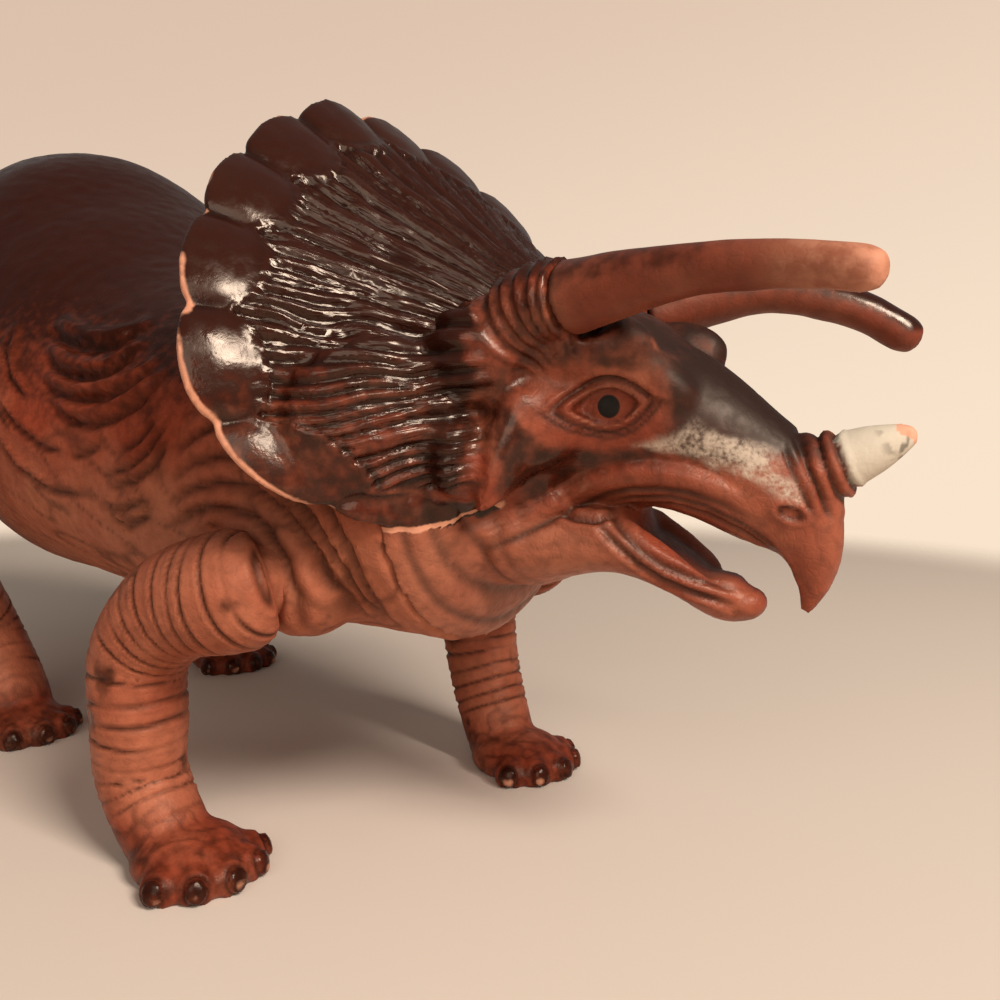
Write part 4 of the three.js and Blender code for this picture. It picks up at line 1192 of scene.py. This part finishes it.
HORN_SHARES = np.array([
    [0, 1],
    [0.2, 0.84],
    [0.45, 0.63],
    [0.75, 0.55],
    [0.94, 0.51],
    [0.985, 0.38],
    [1, 0.15],
])
HORN_GRAIN = 0.5


def build_horn(name):
    hand = SIDES[name]
    direction = horn_direction(hand)
    base = horn_seat(hand) + direction * CLEARANCE
    along, girth = HORN_SHARES.T
    droop = HORN_DROOP[name] * HORN_LENGTH
    path = base + direction * along[:, None] * HORN_LENGTH - UP * droop * along[:, None] ** HORN_BEND
    path += UP * HORN_ARCH[name] * np.sin(np.pi * along[:, None])
    girth = girth * HORN_RADIUS * (1 + HORN_CLUB[name] * along)
    sizes = np.stack([girth, girth, np.full(len(girth), 2.0)], axis=1)
    forms = [limb(path, sizes), disc(HORN_PIN_RADIUS, -HORN_PIN_LENGTH, 1, base, direction, 32)]
    horn = clay(f"horn_{name}_skin", forms)
    horn = fused(horn, HORN_GRAIN, 4)
    skin = Sculpt(horn)
    share = (skin.points - base) @ direction / HORN_LENGTH
    rough = skin.noise(5, 90)
    streaks = noise(skin.points * np.array([0.25, 1, 1]), 2.4, 92)
    skin.height += 0.1 * skin.noise(4, 91) + 0.12 * streaks
    skin.paint("crease", 0.9 * (1 - ramp(share, 0.0, 0.025)))
    upper = ramp(skin.normals[:, 2] + 0.4 * rough, -0.4, 0.5)
    if name == "right":
        worn = np.clip((share + 0.01 * rough - 0.6) / 0.4, 0, 1)
        skin.paint("rub", 0.12 + 0.44 * worn)
        skin.paint("wash", 0.525 * upper * (1 - ramp(share, 0.35, 0.75)))
    else:
        skin.paint("rub", 0.4 * ramp(rough, 0.4, 0.6) * ramp(share, 0.9, 0.97))
        skin.paint("wash", 0.9 * np.maximum(ramp(share, 0.62, 0.8), 0.7) * upper)
        skin.paint("flush", 0.8)
    skin.paint("flush", 0.55 + 0.5 * skin.noise(8, 93))
    skin.carve()
    set_points(horn, head_to_body(points_of(horn)))
    return finished(horn, "head", f"horn_{name}", painted("horn"))


# Legs

UPPER_ARM_SHARES = np.array([
    [0.28, 1, 0.9, 0.98, 0.96],
    [0.45, 1.33, 0.72, 0.86, 0.88],
    [0.46, 1.36, 0.5, 0.86, 0.86],
])
FOREARM_SHARES = np.array([
    [0.24, 0.3, 0.3, 1, 1],
    [0.14, 0.15, 0.12, 0.95, 0.95],
    [0.07, 0, 0.02, 0.85, 0.9],
])
THIGH_SHARES = np.array([
    [0, -0.02, 0.3, 1.27, 0.18, 0.1],
    [0, 0.02, 0.46, 1.02, 0.84, 0.46],
    [0.25, 0.01, 0.48, 0.78, 0.76, 0.54],
])
SHIN_SHARES = np.array([
    [0.5, 0.02, 0, 0.3, 0.52, 1.35, 1.1],
    [0.75, -0.1, 1, 0.217, 0.28, 1.05, 1],
    [1, -0.08, 1, 0.043, 0.1, 1, 1],
    [1, -0.04, 1, 0, 0.02, 0.9, 0.95],
])
TOE_COUNT = 5
TOE_FAN = math.radians(124)
TOE_TURN = math.radians(8)
TOE_RADIUS = 4.3

# How much lower foot and toes are set, so that the floor cuts their soles flat
SOLE_SINK = 0.8

# First ring of folded skin and the step from ring to ring, in millimetres down the leg
FORE_RINGS = (5, 4.1)
HIND_RINGS = (58, 5)

# Up to this height the inner side of a leg has folds too
KNEE_HEIGHT = 40

# The pad over the hip joint: radius and height as shares
THIGH_PAD = ((0.98, 0), (1, 0.12), (0.95, 0.3), (0.8, 0.5), (0.02, 0.62))


def foot_size(fore):
    return FOOT_RADIUS * (1 if fore else HIND_FOOT_SHARE)


def toes(centre, size):
    """The middle of each toe and the way it points."""
    for i in range(TOE_COUNT):
        angle = TOE_TURN + TOE_FAN * (i / (TOE_COUNT - 1) - 0.5)
        way = np.array([math.cos(angle), math.sin(angle), 0])
        yield np.array([centre[0], centre[1], TOE_RADIUS * 0.75 - SOLE_SINK]) + way * size * 0.88, way


def foot(centre, size):
    middle = (centre[0], centre[1], FOOT_HEIGHT * 0.42 - SOLE_SINK)
    forms = [ball(middle, (size, size * 0.95, FOOT_HEIGHT * 0.62))]
    for place, way in toes(centre, size):
        forms.append(ball(place, (TOE_RADIUS * 1.2, TOE_RADIUS * 0.98, TOE_RADIUS), way))
        forms.append(ball(place - way * 5 + UP * 1.6, (TOE_RADIUS * 1.3, TOE_RADIUS * 0.8, TOE_RADIUS), way))
    return forms


def foreleg_line(name):
    """Path and girths of a foreleg."""
    hand = SIDES[name]
    at = seat(SHOULDER, hand)
    start = at + sideways(hand) * CLEARANCE
    foot_x = hand * FORE_STRIDE - FORE_FOOT_BACK
    drop = SHOULDER[2]
    reach = FORE_FOOT_HALF_SPAN - SHOULDER[1]
    root = start + np.array([-0.03 * drop, hand * 0.07 * drop, -0.02 * drop])
    upper = [(at[0] - b * drop, hand * (SHOULDER[1] + o * reach), h * drop)
             for b, o, h, _, _ in UPPER_ARM_SHARES]
    lower = [(foot_x - b * drop, hand * (FORE_FOOT_HALF_SPAN + o * reach), h * drop)
             for b, o, h, _, _ in FOREARM_SHARES]
    sizes = [(ARM_RADIUS * 0.88, ARM_RADIUS * 0.88, 2), (ARM_RADIUS * 1.06, ARM_RADIUS * 1.06, 2)]
    sizes += [(w * ARM_RADIUS, d * ARM_RADIUS, 2) for _, _, _, w, d in UPPER_ARM_SHARES]
    sizes += [(w * FOREARM_RADIUS, d * FOREARM_RADIUS, 2) for _, _, _, w, d in FOREARM_SHARES]
    return np.array([start, root, *upper, *lower]), np.array(sizes), (foot_x, hand * FORE_FOOT_HALF_SPAN)


def hindleg_line(name):
    """Path and girths of a hind leg."""
    hand = SIDES[name]
    foot_x = -HIND_FOOT_BACK - hand * HIND_STRIDE
    drop = HIP[2]
    way = foot_x - HIP[0]
    thigh = [(HIP[0] + a * way + lead * drop, hand * (HIP[1] + o * THIGH_DEPTH), h * drop)
             for a, lead, o, h, _, _ in THIGH_SHARES]
    shin = [(HIP[0] + a * way + lead * drop,
             hand * (HIP[1] + (HIND_FOOT_HALF_SPAN - HIP[1]) * inward + o * THIGH_DEPTH), h * drop)
            for a, lead, inward, o, h, _, _ in SHIN_SHARES]
    sizes = [(w * THIGH_RADIUS, d * THIGH_DEPTH, 2) for _, _, _, _, w, d in THIGH_SHARES]
    sizes += [(w * SHIN_RADIUS, d * SHIN_RADIUS, 2) for _, _, _, _, _, w, d in SHIN_SHARES]
    return np.array([*thigh, *shin]), np.array(sizes), (foot_x, hand * HIND_FOOT_HALF_SPAN)


def along_path(points, path):
    """How far along a path, in millimetres, each point lies, and the length of the path."""
    line = spline(path, np.linspace(0, 1, 260))
    steps = np.linalg.norm(np.diff(line, axis=0), axis=1)
    reach = np.concatenate([[0], np.cumsum(steps)])
    runs = unit(np.gradient(line, axis=0))
    gaps = (points ** 2).sum(1)[:, None] - 2 * points @ line.T + (line ** 2).sum(1)[None]
    nearest = gaps.argmin(1)
    ahead = np.einsum("ij,ij->i", points - line[nearest], runs[nearest])
    return reach[nearest] + ahead, reach[-1]


def sculpt_leg(leg, path, centre, fore, strength):
    """Rings of folded skin down the leg, wrinkled feet and dark worn nails."""
    skin = Sculpt(leg)
    x, y, z = skin.points.T
    bent = wobble(skin.points, 12, 0.9, 80)
    line = np.vstack([path[1] + 14 * unit(path[1] - path[2]), path[1:]]) if fore else path
    reach, length = along_path(bent, line)
    above_foot = ramp(z, FOOT_HEIGHT, FOOT_HEIGHT + 4)
    outer = np.abs(y) > (SHOULDER[1] if fore else HIP[1]) + 1
    seen = outer | (z < KNEE_HEIGHT)
    on_leg = above_foot * seen
    start, step = FORE_RINGS if fore else HIND_RINGS
    for k in range(int((length - start) / step)):
        ring = start + step * (k + 0.35 * (chance(np.float64(k), 5) - 0.5))
        share = 0.25 + 0.75 * ramp(noise(skin.points + k * 9, 12, 81), -0.4, 0.2)
        skin.groove(reach - ring, width=0.45, depth=0.62 * strength, weight=on_leg * share, lip=0.3)
    fine = noise(skin.points * np.array([1, 1, 1.5]), 4.6 if fore else 8, 82)
    fine = fine + 0.4 * skin.noise(2.4, 83)
    rough = 0.25 + 0.6 * (1 - ramp(z, FOOT_HEIGHT, FOOT_HEIGHT + 8))
    skin.groove(fine * 2.8, width=0.45, depth=0.18 * strength, weight=0.7 * rough * seen, lip=0.4)

    for place, way in toes(centre, foot_size(fore)):
        nail = place + way * TOE_RADIUS * 0.95 + UP * 0.7
        gap = np.linalg.norm((skin.points - nail) * np.array([1, 1, 0.85]), axis=1)
        skin.height += 0.3 * (1 - ramp(gap, 1.7, 2.3))
        skin.groove(gap - 2.5, width=0.4, depth=0.4, lip=0.2)
        skin.paint("wash", 0.8 * (1 - ramp(gap, 1.8, 2.5)))
        worn = (skin.points - place) @ way + 0.7 * skin.noise(2.2, 84)
        low = (1 - ramp(z, 2.6, 3.8)) * (gap < 5)
        skin.paint("rub", 0.6 * ramp(worn, TOE_RADIUS * 1.05, TOE_RADIUS * 1.25) * low)

    smudge = skin.noise(9, 85) + 0.6 * skin.noise(3.2, 86)
    rear = ramp(-x + (SHOULDER[0] if fore else HIP[0]) - 12, 0, 14)
    skin.paint("wash", 0.6 * ramp(smudge + 0.8 * rear, 0.7, 1.3))
    if not fore:
        skin.paint("wash", 0.85 * ramp(z + 9 * skin.noise(20, 87), 92, 118))
    skin.paint("flush", 0.3 + 0.3 * skin.noise(14, 88) + 0.6 * (1 - ramp(z, 8, 16)))
    skin.paint("wash", 0.42 * (1 - ramp(z, 6, 14)))
    skin.carve()


def floor_block():
    """A block under the floor, which cuts the soles flat."""
    x, y, deep = -HIP[0] * 1.5, 120, 40
    corners = [(a, b, c) for c in (-deep, 0) for a, b in ((-x, -y), (x, -y), (x, y), (-x, y))]
    faces = [(0, 3, 2, 1), (4, 5, 6, 7), (0, 1, 5, 4), (1, 2, 6, 5), (2, 3, 7, 6), (3, 0, 4, 7)]
    return corners, faces


def build_leg(context, kind, name):
    sizes = context.scene.sculpt_sizes
    hand = SIDES[name]
    fore = kind == "foreleg"
    at = seat(SHOULDER if fore else HIP, hand)
    path, girths, (foot_x, foot_y) = foreleg_line(name) if fore else hindleg_line(name)
    leg = clay(f"{kind}_{name}_skin", [limb(path, girths, across=FORWARD)])
    leg = fused(leg, sizes.leg_grain, 0)
    root = ARM_RADIUS * 2 if fore else THIGH_RADIUS * 1.3
    cut(leg, *disc(root, -OVERRUN, CLEARANCE, at, sideways(hand)))
    forms = [leg, *foot((foot_x, foot_y), foot_size(fore)),
             plug(SHOULDER_BORE if fore else HIP_BORE, at, sideways(hand))]
    if not fore:
        base = at + sideways(hand) * CLEARANCE
        forms.append(rounded(THIGH_PAD, THIGH_RADIUS, THIGH_DEPTH, base, sideways(hand)))
    leg = clay(leg.name, forms)
    leg = fused(leg, sizes.leg_grain, 0)
    cut(leg, *floor_block())
    leg = fused(leg, sizes.leg_grain, 4)
    sculpt_leg(leg, path, (foot_x, foot_y), fore, sizes.fold_depth)
    points = points_of(leg)
    points[:, 2] = np.maximum(points[:, 2], 0)
    set_points(leg, points)
    return finished(leg, f"{kind}_{name}", f"{kind}_{name}", painted("leg"))


# Paint

def mixed(tree, factor, low, high):
    """A node that blends two colours."""
    node = tree.nodes.new("ShaderNodeMix")
    node.data_type = "RGBA"
    for name, value in (("Factor", factor), ("A", low), ("B", high)):
        if isinstance(value, bpy.types.NodeSocket):
            tree.links.new(value, node.inputs[name])
        else:
            node.inputs[name].default_value = value
    return node.outputs["Result"]


def sum_of(tree, operation, first, second, clamp=False):
    """A node that works with two values."""
    node = tree.nodes.new("ShaderNodeMath")
    node.operation = operation
    node.use_clamp = clamp
    for index, value in enumerate((first, second)):
        if isinstance(value, bpy.types.NodeSocket):
            tree.links.new(value, node.inputs[index])
        else:
            node.inputs[index].default_value = value
    return node.outputs["Value"]


def stepped(tree, value, low, high, to_low=0.0, to_high=1.0):
    """A node that turns one range of values smoothly into another."""
    node = tree.nodes.new("ShaderNodeMapRange")
    node.interpolation_type = "SMOOTHSTEP"
    tree.links.new(value, node.inputs["Value"])
    for name, number in (("From Min", low), ("From Max", high), ("To Min", to_low), ("To Max", to_high)):
        node.inputs[name].default_value = number
    return node.outputs["Result"]


def speckle(tree, place, size, detail):
    """Noise with features of one size in millimetres."""
    node = tree.nodes.new("ShaderNodeTexNoise")
    tree.links.new(place, node.inputs["Vector"])
    node.inputs["Scale"].default_value = 1000 / size
    node.inputs["Detail"].default_value = detail
    return node.outputs["Fac"]


PAINTS = ("Skin", "Flush", "Wash", "Crease", "Vinyl", "Bone", "Scuff", "Pupil")

# Three speckles in the paint: size in millimetres and detail
BROAD_SPECKLE = (16, 3)
SMALL_SPECKLE = (2.6, 5)
TINY_SPECKLE = (0.7, 2)
PORES_PER_METRE = 620
STREAK_SCALE = 1.7
STREAK_DETAIL = 3


def scaled(tree, value, factor):
    """A value made larger or smaller."""
    return sum_of(tree, "MULTIPLY", value, factor)


def colour_layers(tree, given, masks, washed, worn, broad, small, tiny):
    """Colours from the skin up: redder paint, dark wash, folds, rubbed edges, scuff and pupil."""
    tone = sum_of(tree, "ADD", masks["flush"], stepped(tree, broad, 0.3, 0.7, -0.15, 0.25), True)
    colour = mixed(tree, tone, given["Skin"], given["Flush"])
    shade = stepped(tree, small, 0.3, 0.75, 0.0, 0.22)
    colour = mixed(tree, shade, colour, given["Crease"])
    colour = mixed(tree, scaled(tree, washed, 0.95), colour, given["Wash"])
    colour = mixed(tree, masks["bone"], colour, given["Bone"])
    # Dark paint and painted shade in the folds and hollows
    colour = mixed(tree, scaled(tree, masks["crease"], 0.8), colour, given["Crease"])
    colour = mixed(tree, scaled(tree, worn, 0.84), colour, given["Vinyl"])
    grit = stepped(tree, sum_of(tree, "ADD", small, scaled(tree, tiny, 0.8)), 0.6, 1.15, 0.1, 0.85)
    # Scratches broken up by grit, with a painted silvery sheen
    colour = mixed(tree, sum_of(tree, "MULTIPLY", masks["scuff"], grit), colour, given["Scuff"])
    return mixed(tree, masks["pupil"], colour, given["Pupil"])


def roughness_layers(tree, masks, washed, worn, small):
    """The wash shines, worn and dull places don't."""
    rough = stepped(tree, washed, 0.1, 0.9, 0.46, 0.2)
    rough = sum_of(tree, "ADD", rough, stepped(tree, small, 0.3, 0.7, -0.05, 0.08))
    rough = sum_of(tree, "ADD", rough, scaled(tree, worn, 0.14))
    dull = sum_of(tree, "MAXIMUM", masks["satin"], masks["pupil"])
    return sum_of(tree, "ADD", rough, scaled(tree, dull, 0.3), True)


def height_layers(tree, masks, place, small, tiny):
    """Fine pores on the bare skin, and streaks that run along the frill's ridges."""
    cells = tree.nodes.new("ShaderNodeTexVoronoi")
    cells.feature = "DISTANCE_TO_EDGE"
    cells.inputs["Scale"].default_value = PORES_PER_METRE
    tree.links.new(place, cells.inputs["Vector"])
    pores = stepped(tree, cells.outputs["Distance"], 0.0, 0.16)
    plain = sum_of(tree, "MAXIMUM", sum_of(tree, "MAXIMUM", masks["bone"], masks["pupil"]), masks["wash"])
    pores = sum_of(tree, "MULTIPLY", pores, stepped(tree, plain, 0.0, 1.0, 0.2, 0.0))
    height = sum_of(tree, "ADD", pores, scaled(tree, tiny, 0.45))
    height = sum_of(tree, "ADD", height, scaled(tree, small, 0.8))
    height = sum_of(tree, "MULTIPLY", height, stepped(tree, masks["wash"], 0.2, 1.0, 1.0, 0.4))

    lengthways = tree.nodes.new("ShaderNodeCombineXYZ")
    tree.links.new(masks["strand"], lengthways.inputs["X"])
    tree.links.new(masks["reach"], lengthways.inputs["Y"])
    streaks = tree.nodes.new("ShaderNodeTexNoise")
    tree.links.new(lengthways.outputs["Vector"], streaks.inputs["Vector"])
    streaks.inputs["Scale"].default_value = STREAK_SCALE
    streaks.inputs["Detail"].default_value = STREAK_DETAIL
    streak = sum_of(tree, "MULTIPLY", stepped(tree, streaks.outputs["Fac"], 0.34, 0.6), masks["ridged"])
    return sum_of(tree, "ADD", height, scaled(tree, streak, 1.1))


def paint_layers():
    """The shared layers of paint: colour, roughness and height from the stored masks."""
    found = bpy.data.node_groups.get("paint_layers")
    if found:
        return found
    tree = bpy.data.node_groups.new("paint_layers", "ShaderNodeTree")
    for name in PAINTS:
        tree.interface.new_socket(name, in_out="INPUT", socket_type="NodeSocketColor")
    tree.interface.new_socket("Colour", in_out="OUTPUT", socket_type="NodeSocketColor")
    tree.interface.new_socket("Roughness", in_out="OUTPUT", socket_type="NodeSocketFloat")
    tree.interface.new_socket("Height", in_out="OUTPUT", socket_type="NodeSocketFloat")
    given = tree.nodes.new("NodeGroupInput").outputs
    result = tree.nodes.new("NodeGroupOutput").inputs
    place = tree.nodes.new("ShaderNodeTexCoord").outputs["Object"]
    masks = {}
    for name in MASKS:
        node = tree.nodes.new("ShaderNodeAttribute")
        node.attribute_name = name
        masks[name] = node.outputs["Fac"]
    masks["pupil"] = stepped(tree, masks["pupil"], 0.42, 0.58)
    broad = speckle(tree, place, *BROAD_SPECKLE)
    small = speckle(tree, place, *SMALL_SPECKLE)
    tiny = speckle(tree, place, *TINY_SPECKLE)
    brushed = sum_of(tree, "ADD", masks["wash"], stepped(tree, small, 0.25, 0.75, -0.14, 0.14))
    washed = stepped(tree, brushed, 0.1, 0.9)
    rubbed = sum_of(tree, "ADD", masks["rub"], stepped(tree, small, 0.3, 0.7, -0.1, 0.1))
    worn = stepped(tree, rubbed, 0.2, 0.8)
    tree.links.new(colour_layers(tree, given, masks, washed, worn, broad, small, tiny), result["Colour"])
    tree.links.new(roughness_layers(tree, masks, washed, worn, small), result["Roughness"])
    tree.links.new(height_layers(tree, masks, place, small, tiny), result["Height"])
    return tree


# For each kind of piece: the lightness of its skin, its bump and its gloss
KINDS = {
    "torso": (1.08, 0.5, 0.1),
    "head": (1.04, 0.5, 0.34),
    "horn": (0.9, 0.25, 0.35),
    "leg": (1.06, 0.5, 0.15),
}
WARM_GLOSS = (1, 0.82, 0.66, 1)
BUMP_HEIGHT = 0.0003


def painted(kind):
    """The painted vinyl material of one kind of piece."""
    found = bpy.data.materials.get(f"painted_{kind}")
    if found:
        return found
    colours = bpy.context.scene.paint_colours
    light, bumps, gloss = KINDS[kind]
    material = bpy.data.materials.new(f"painted_{kind}")
    material.use_nodes = True
    nodes, links = material.node_tree.nodes, material.node_tree.links
    shader = nodes["Principled BSDF"]
    layers = nodes.new("ShaderNodeGroup")
    layers.node_tree = paint_layers()
    for name in PAINTS:
        lightness = light if name in ("Skin", "Flush") else 1
        colour = [value * lightness for value in getattr(colours, name.lower())]
        layers.inputs[name].default_value = linear(colour)
    shader.inputs["Specular IOR Level"].default_value = gloss
    shader.inputs["Specular Tint"].default_value = WARM_GLOSS
    links.new(layers.outputs["Colour"], shader.inputs["Base Color"])
    links.new(layers.outputs["Roughness"], shader.inputs["Roughness"])
    bump = nodes.new("ShaderNodeBump")
    bump.inputs["Strength"].default_value = bumps
    bump.inputs["Distance"].default_value = BUMP_HEIGHT
    links.new(layers.outputs["Height"], bump.inputs["Height"])
    links.new(bump.outputs["Normal"], shader.inputs["Normal"])
    return material


# Stage

CAMERA_PLACE = np.array([173.1, -132.5, 95.1])
CAMERA_AZIMUTH = math.radians(46.1)
CAMERA_PITCH = math.radians(5.9)
CAMERA_LENS = 36

# The paper floor fades out between two radii, in metres
FLOOR_RADIUS = 0.62
FLOOR_FADE = (0.42, 0.54)
FLOOR_ROUGHNESS = 0.7

# Soft room light, and the painted shading of the wall behind, which darkens from its foot to its top
ROOM_COLOUR = (1.0, 0.93, 0.87, 1)
ROOM_LIGHT = 0.22
WALL_AXIS = (-0.18, -0.19, 0.97)
WALL_FADE = (-0.22, 0.5)

# Lamps: place and size in metres, and power
LAMPS = {"key_lamp": ((1.12, -0.12, 0.86), 0.4, 23.5), "fill_lamp": ((0.9, -1.0, 0.6), 0.9, 7.5)}
LAMP_COLOUR = (1.0, 0.94, 0.88)
LAMP_TARGET = (0.05, 0, 0.08)


def build_stage(context):
    context.scene.view_settings.view_transform = "Standard"
    place_camera(context.scene)
    lay_floor(context.scene.paint_colours)
    paint_wall(context.scene)
    for name, (place, size, power) in LAMPS.items():
        hang_lamp(name, place, size, power)


def place_camera(scene):
    """The camera at the photograph's viewing angle."""
    data = bpy.data.cameras.new("camera")
    data.sensor_width = 36
    data.lens = CAMERA_LENS
    data.clip_start = 0.01
    data.clip_end = 20
    camera = bpy.data.objects.new("camera", data)
    scene.collection.objects.link(camera)
    camera.location = Vector((CAMERA_PLACE + SHIFT) / 1000)
    look = Vector((-math.sin(CAMERA_AZIMUTH) * math.cos(CAMERA_PITCH),
                   math.cos(CAMERA_AZIMUTH) * math.cos(CAMERA_PITCH), -math.sin(CAMERA_PITCH)))
    camera.rotation_euler = look.to_track_quat("-Z", "Y").to_euler()
    scene.camera = camera


def lay_floor(colours):
    """A round sheet of pale paper whose edge fades out."""
    bpy.ops.object.select_all(action="DESELECT")
    bpy.ops.mesh.primitive_circle_add(
        vertices=96, radius=FLOOR_RADIUS, fill_type="TRIFAN", location=(0, 0, 0))
    floor = bpy.context.object
    floor.name = "floor"
    material = bpy.data.materials.new("floor_paper")
    material.use_nodes = True
    nodes, links = material.node_tree.nodes, material.node_tree.links
    shader = nodes["Principled BSDF"]
    shader.inputs["Base Color"].default_value = linear(colours.floor)
    shader.inputs["Roughness"].default_value = FLOOR_ROUGHNESS
    place = nodes.new("ShaderNodeTexCoord")
    length = nodes.new("ShaderNodeVectorMath")
    length.operation = "LENGTH"
    links.new(place.outputs["Object"], length.inputs[0])
    near, far = FLOOR_FADE
    faded = stepped(material.node_tree, length.outputs["Value"], near, far, 1.0, 0.0)
    links.new(faded, shader.inputs["Alpha"])
    floor.data.materials.append(material)


def paint_wall(scene):
    """The world: plain soft light on the figure, and the pale wall with painted shading where the camera
    looks past it.
    """
    colours = scene.paint_colours
    world = bpy.data.worlds.new("studio")
    scene.world = world
    world.use_nodes = True
    tree = world.node_tree
    nodes, links = tree.nodes, tree.links
    light = nodes["Background"]
    light.inputs["Color"].default_value = ROOM_COLOUR
    light.inputs["Strength"].default_value = ROOM_LIGHT
    seen = nodes.new("ShaderNodeBackground")
    shade = mixed(tree, wall_shading(tree), linear(colours.backdrop), linear(colours.wall))
    links.new(shade, seen.inputs["Color"])
    seen.inputs["Strength"].default_value = 1
    path = nodes.new("ShaderNodeLightPath")
    choose = nodes.new("ShaderNodeMixShader")
    links.new(path.outputs["Is Camera Ray"], choose.inputs["Fac"])
    links.new(light.outputs["Background"], choose.inputs[1])
    links.new(seen.outputs["Background"], choose.inputs[2])
    links.new(choose.outputs["Shader"], nodes["World Output"].inputs["Surface"])


def wall_shading(tree):
    """The wall's painted shading: a value that grows from its lit bottom right to its darker top left."""
    place = tree.nodes.new("ShaderNodeTexCoord")
    reach = tree.nodes.new("ShaderNodeVectorMath")
    reach.operation = "DOT_PRODUCT"
    reach.inputs[1].default_value = WALL_AXIS
    tree.links.new(place.outputs["Generated"], reach.inputs[0])
    return stepped(tree, reach.outputs["Value"], *WALL_FADE)


def hang_lamp(name, place, size, power):
    """A soft square lamp that faces the middle of the figure."""
    data = bpy.data.lights.new(name, "AREA")
    data.size = size
    data.energy = power
    data.color = LAMP_COLOUR
    lamp = bpy.data.objects.new(name, data)
    bpy.context.scene.collection.objects.link(lamp)
    lamp.location = place
    lamp.rotation_euler = (Vector(LAMP_TARGET) - Vector(place)).to_track_quat("-Z", "Y").to_euler()


class BuildStage(bpy.types.Operator):
    """Makes the camera, the floor and the lamps"""

    bl_idname = "triceratops.build_stage"
    bl_label = "Build the stage"

    def execute(self, context):
        build_stage(context)
        return {"FINISHED"}


class BuildTorso(bpy.types.Operator):
    """Makes the torso with its folds and its tail"""

    bl_idname = "triceratops.build_torso"
    bl_label = "Build the torso"

    def execute(self, context):
        build_torso(context)
        return {"FINISHED"}


class BuildHead(bpy.types.Operator):
    """Makes the head with its frill, beak and nose horn"""

    bl_idname = "triceratops.build_head"
    bl_label = "Build the head"

    def execute(self, context):
        build_head(context)
        return {"FINISHED"}


class BuildHorns(bpy.types.Operator):
    """Makes the two plugged brow horns"""

    bl_idname = "triceratops.build_horns"
    bl_label = "Build the horns"

    def execute(self, context):
        for name in SIDES:
            build_horn(name)
        return {"FINISHED"}


class BuildLegs(bpy.types.Operator):
    """Makes the four plugged legs"""

    bl_idname = "triceratops.build_legs"
    bl_label = "Build the legs"

    def execute(self, context):
        for kind in ("foreleg", "hindleg"):
            for name in SIDES:
                build_leg(context, kind, name)
        return {"FINISHED"}


class FigurePanel(bpy.types.Panel):
    """Lists the steps and the sizes of the figure"""

    bl_idname = "VIEW3D_PT_triceratops"
    bl_label = "Triceratops"
    bl_space_type = "VIEW_3D"
    bl_region_type = "UI"
    bl_category = "Triceratops"

    def draw(self, context):
        layout = self.layout
        for name in SculptSizes.__annotations__:
            layout.prop(context.scene.sculpt_sizes, name)
        for name in PaintColours.__annotations__:
            layout.prop(context.scene.paint_colours, name)
        for step in STEPS:
            layout.operator(step.bl_idname)


STEPS = (BuildStage, BuildTorso, BuildHead, BuildHorns, BuildLegs)
CLASSES = (SculptSizes, PaintColours, *STEPS, FigurePanel)


def register():
    for item in CLASSES:
        bpy.utils.register_class(item)
    bpy.types.Scene.sculpt_sizes = bpy.props.PointerProperty(type=SculptSizes)
    bpy.types.Scene.paint_colours = bpy.props.PointerProperty(type=PaintColours)


def unregister():
    del bpy.types.Scene.paint_colours
    del bpy.types.Scene.sculpt_sizes
    for item in reversed(CLASSES):
        bpy.utils.unregister_class(item)


def main():
    register()
    bpy.ops.triceratops.build_stage()
    bpy.ops.triceratops.build_torso()
    bpy.ops.triceratops.build_head()
    bpy.ops.triceratops.build_horns()
    bpy.ops.triceratops.build_legs()


if __name__ == "__main__":
    main()
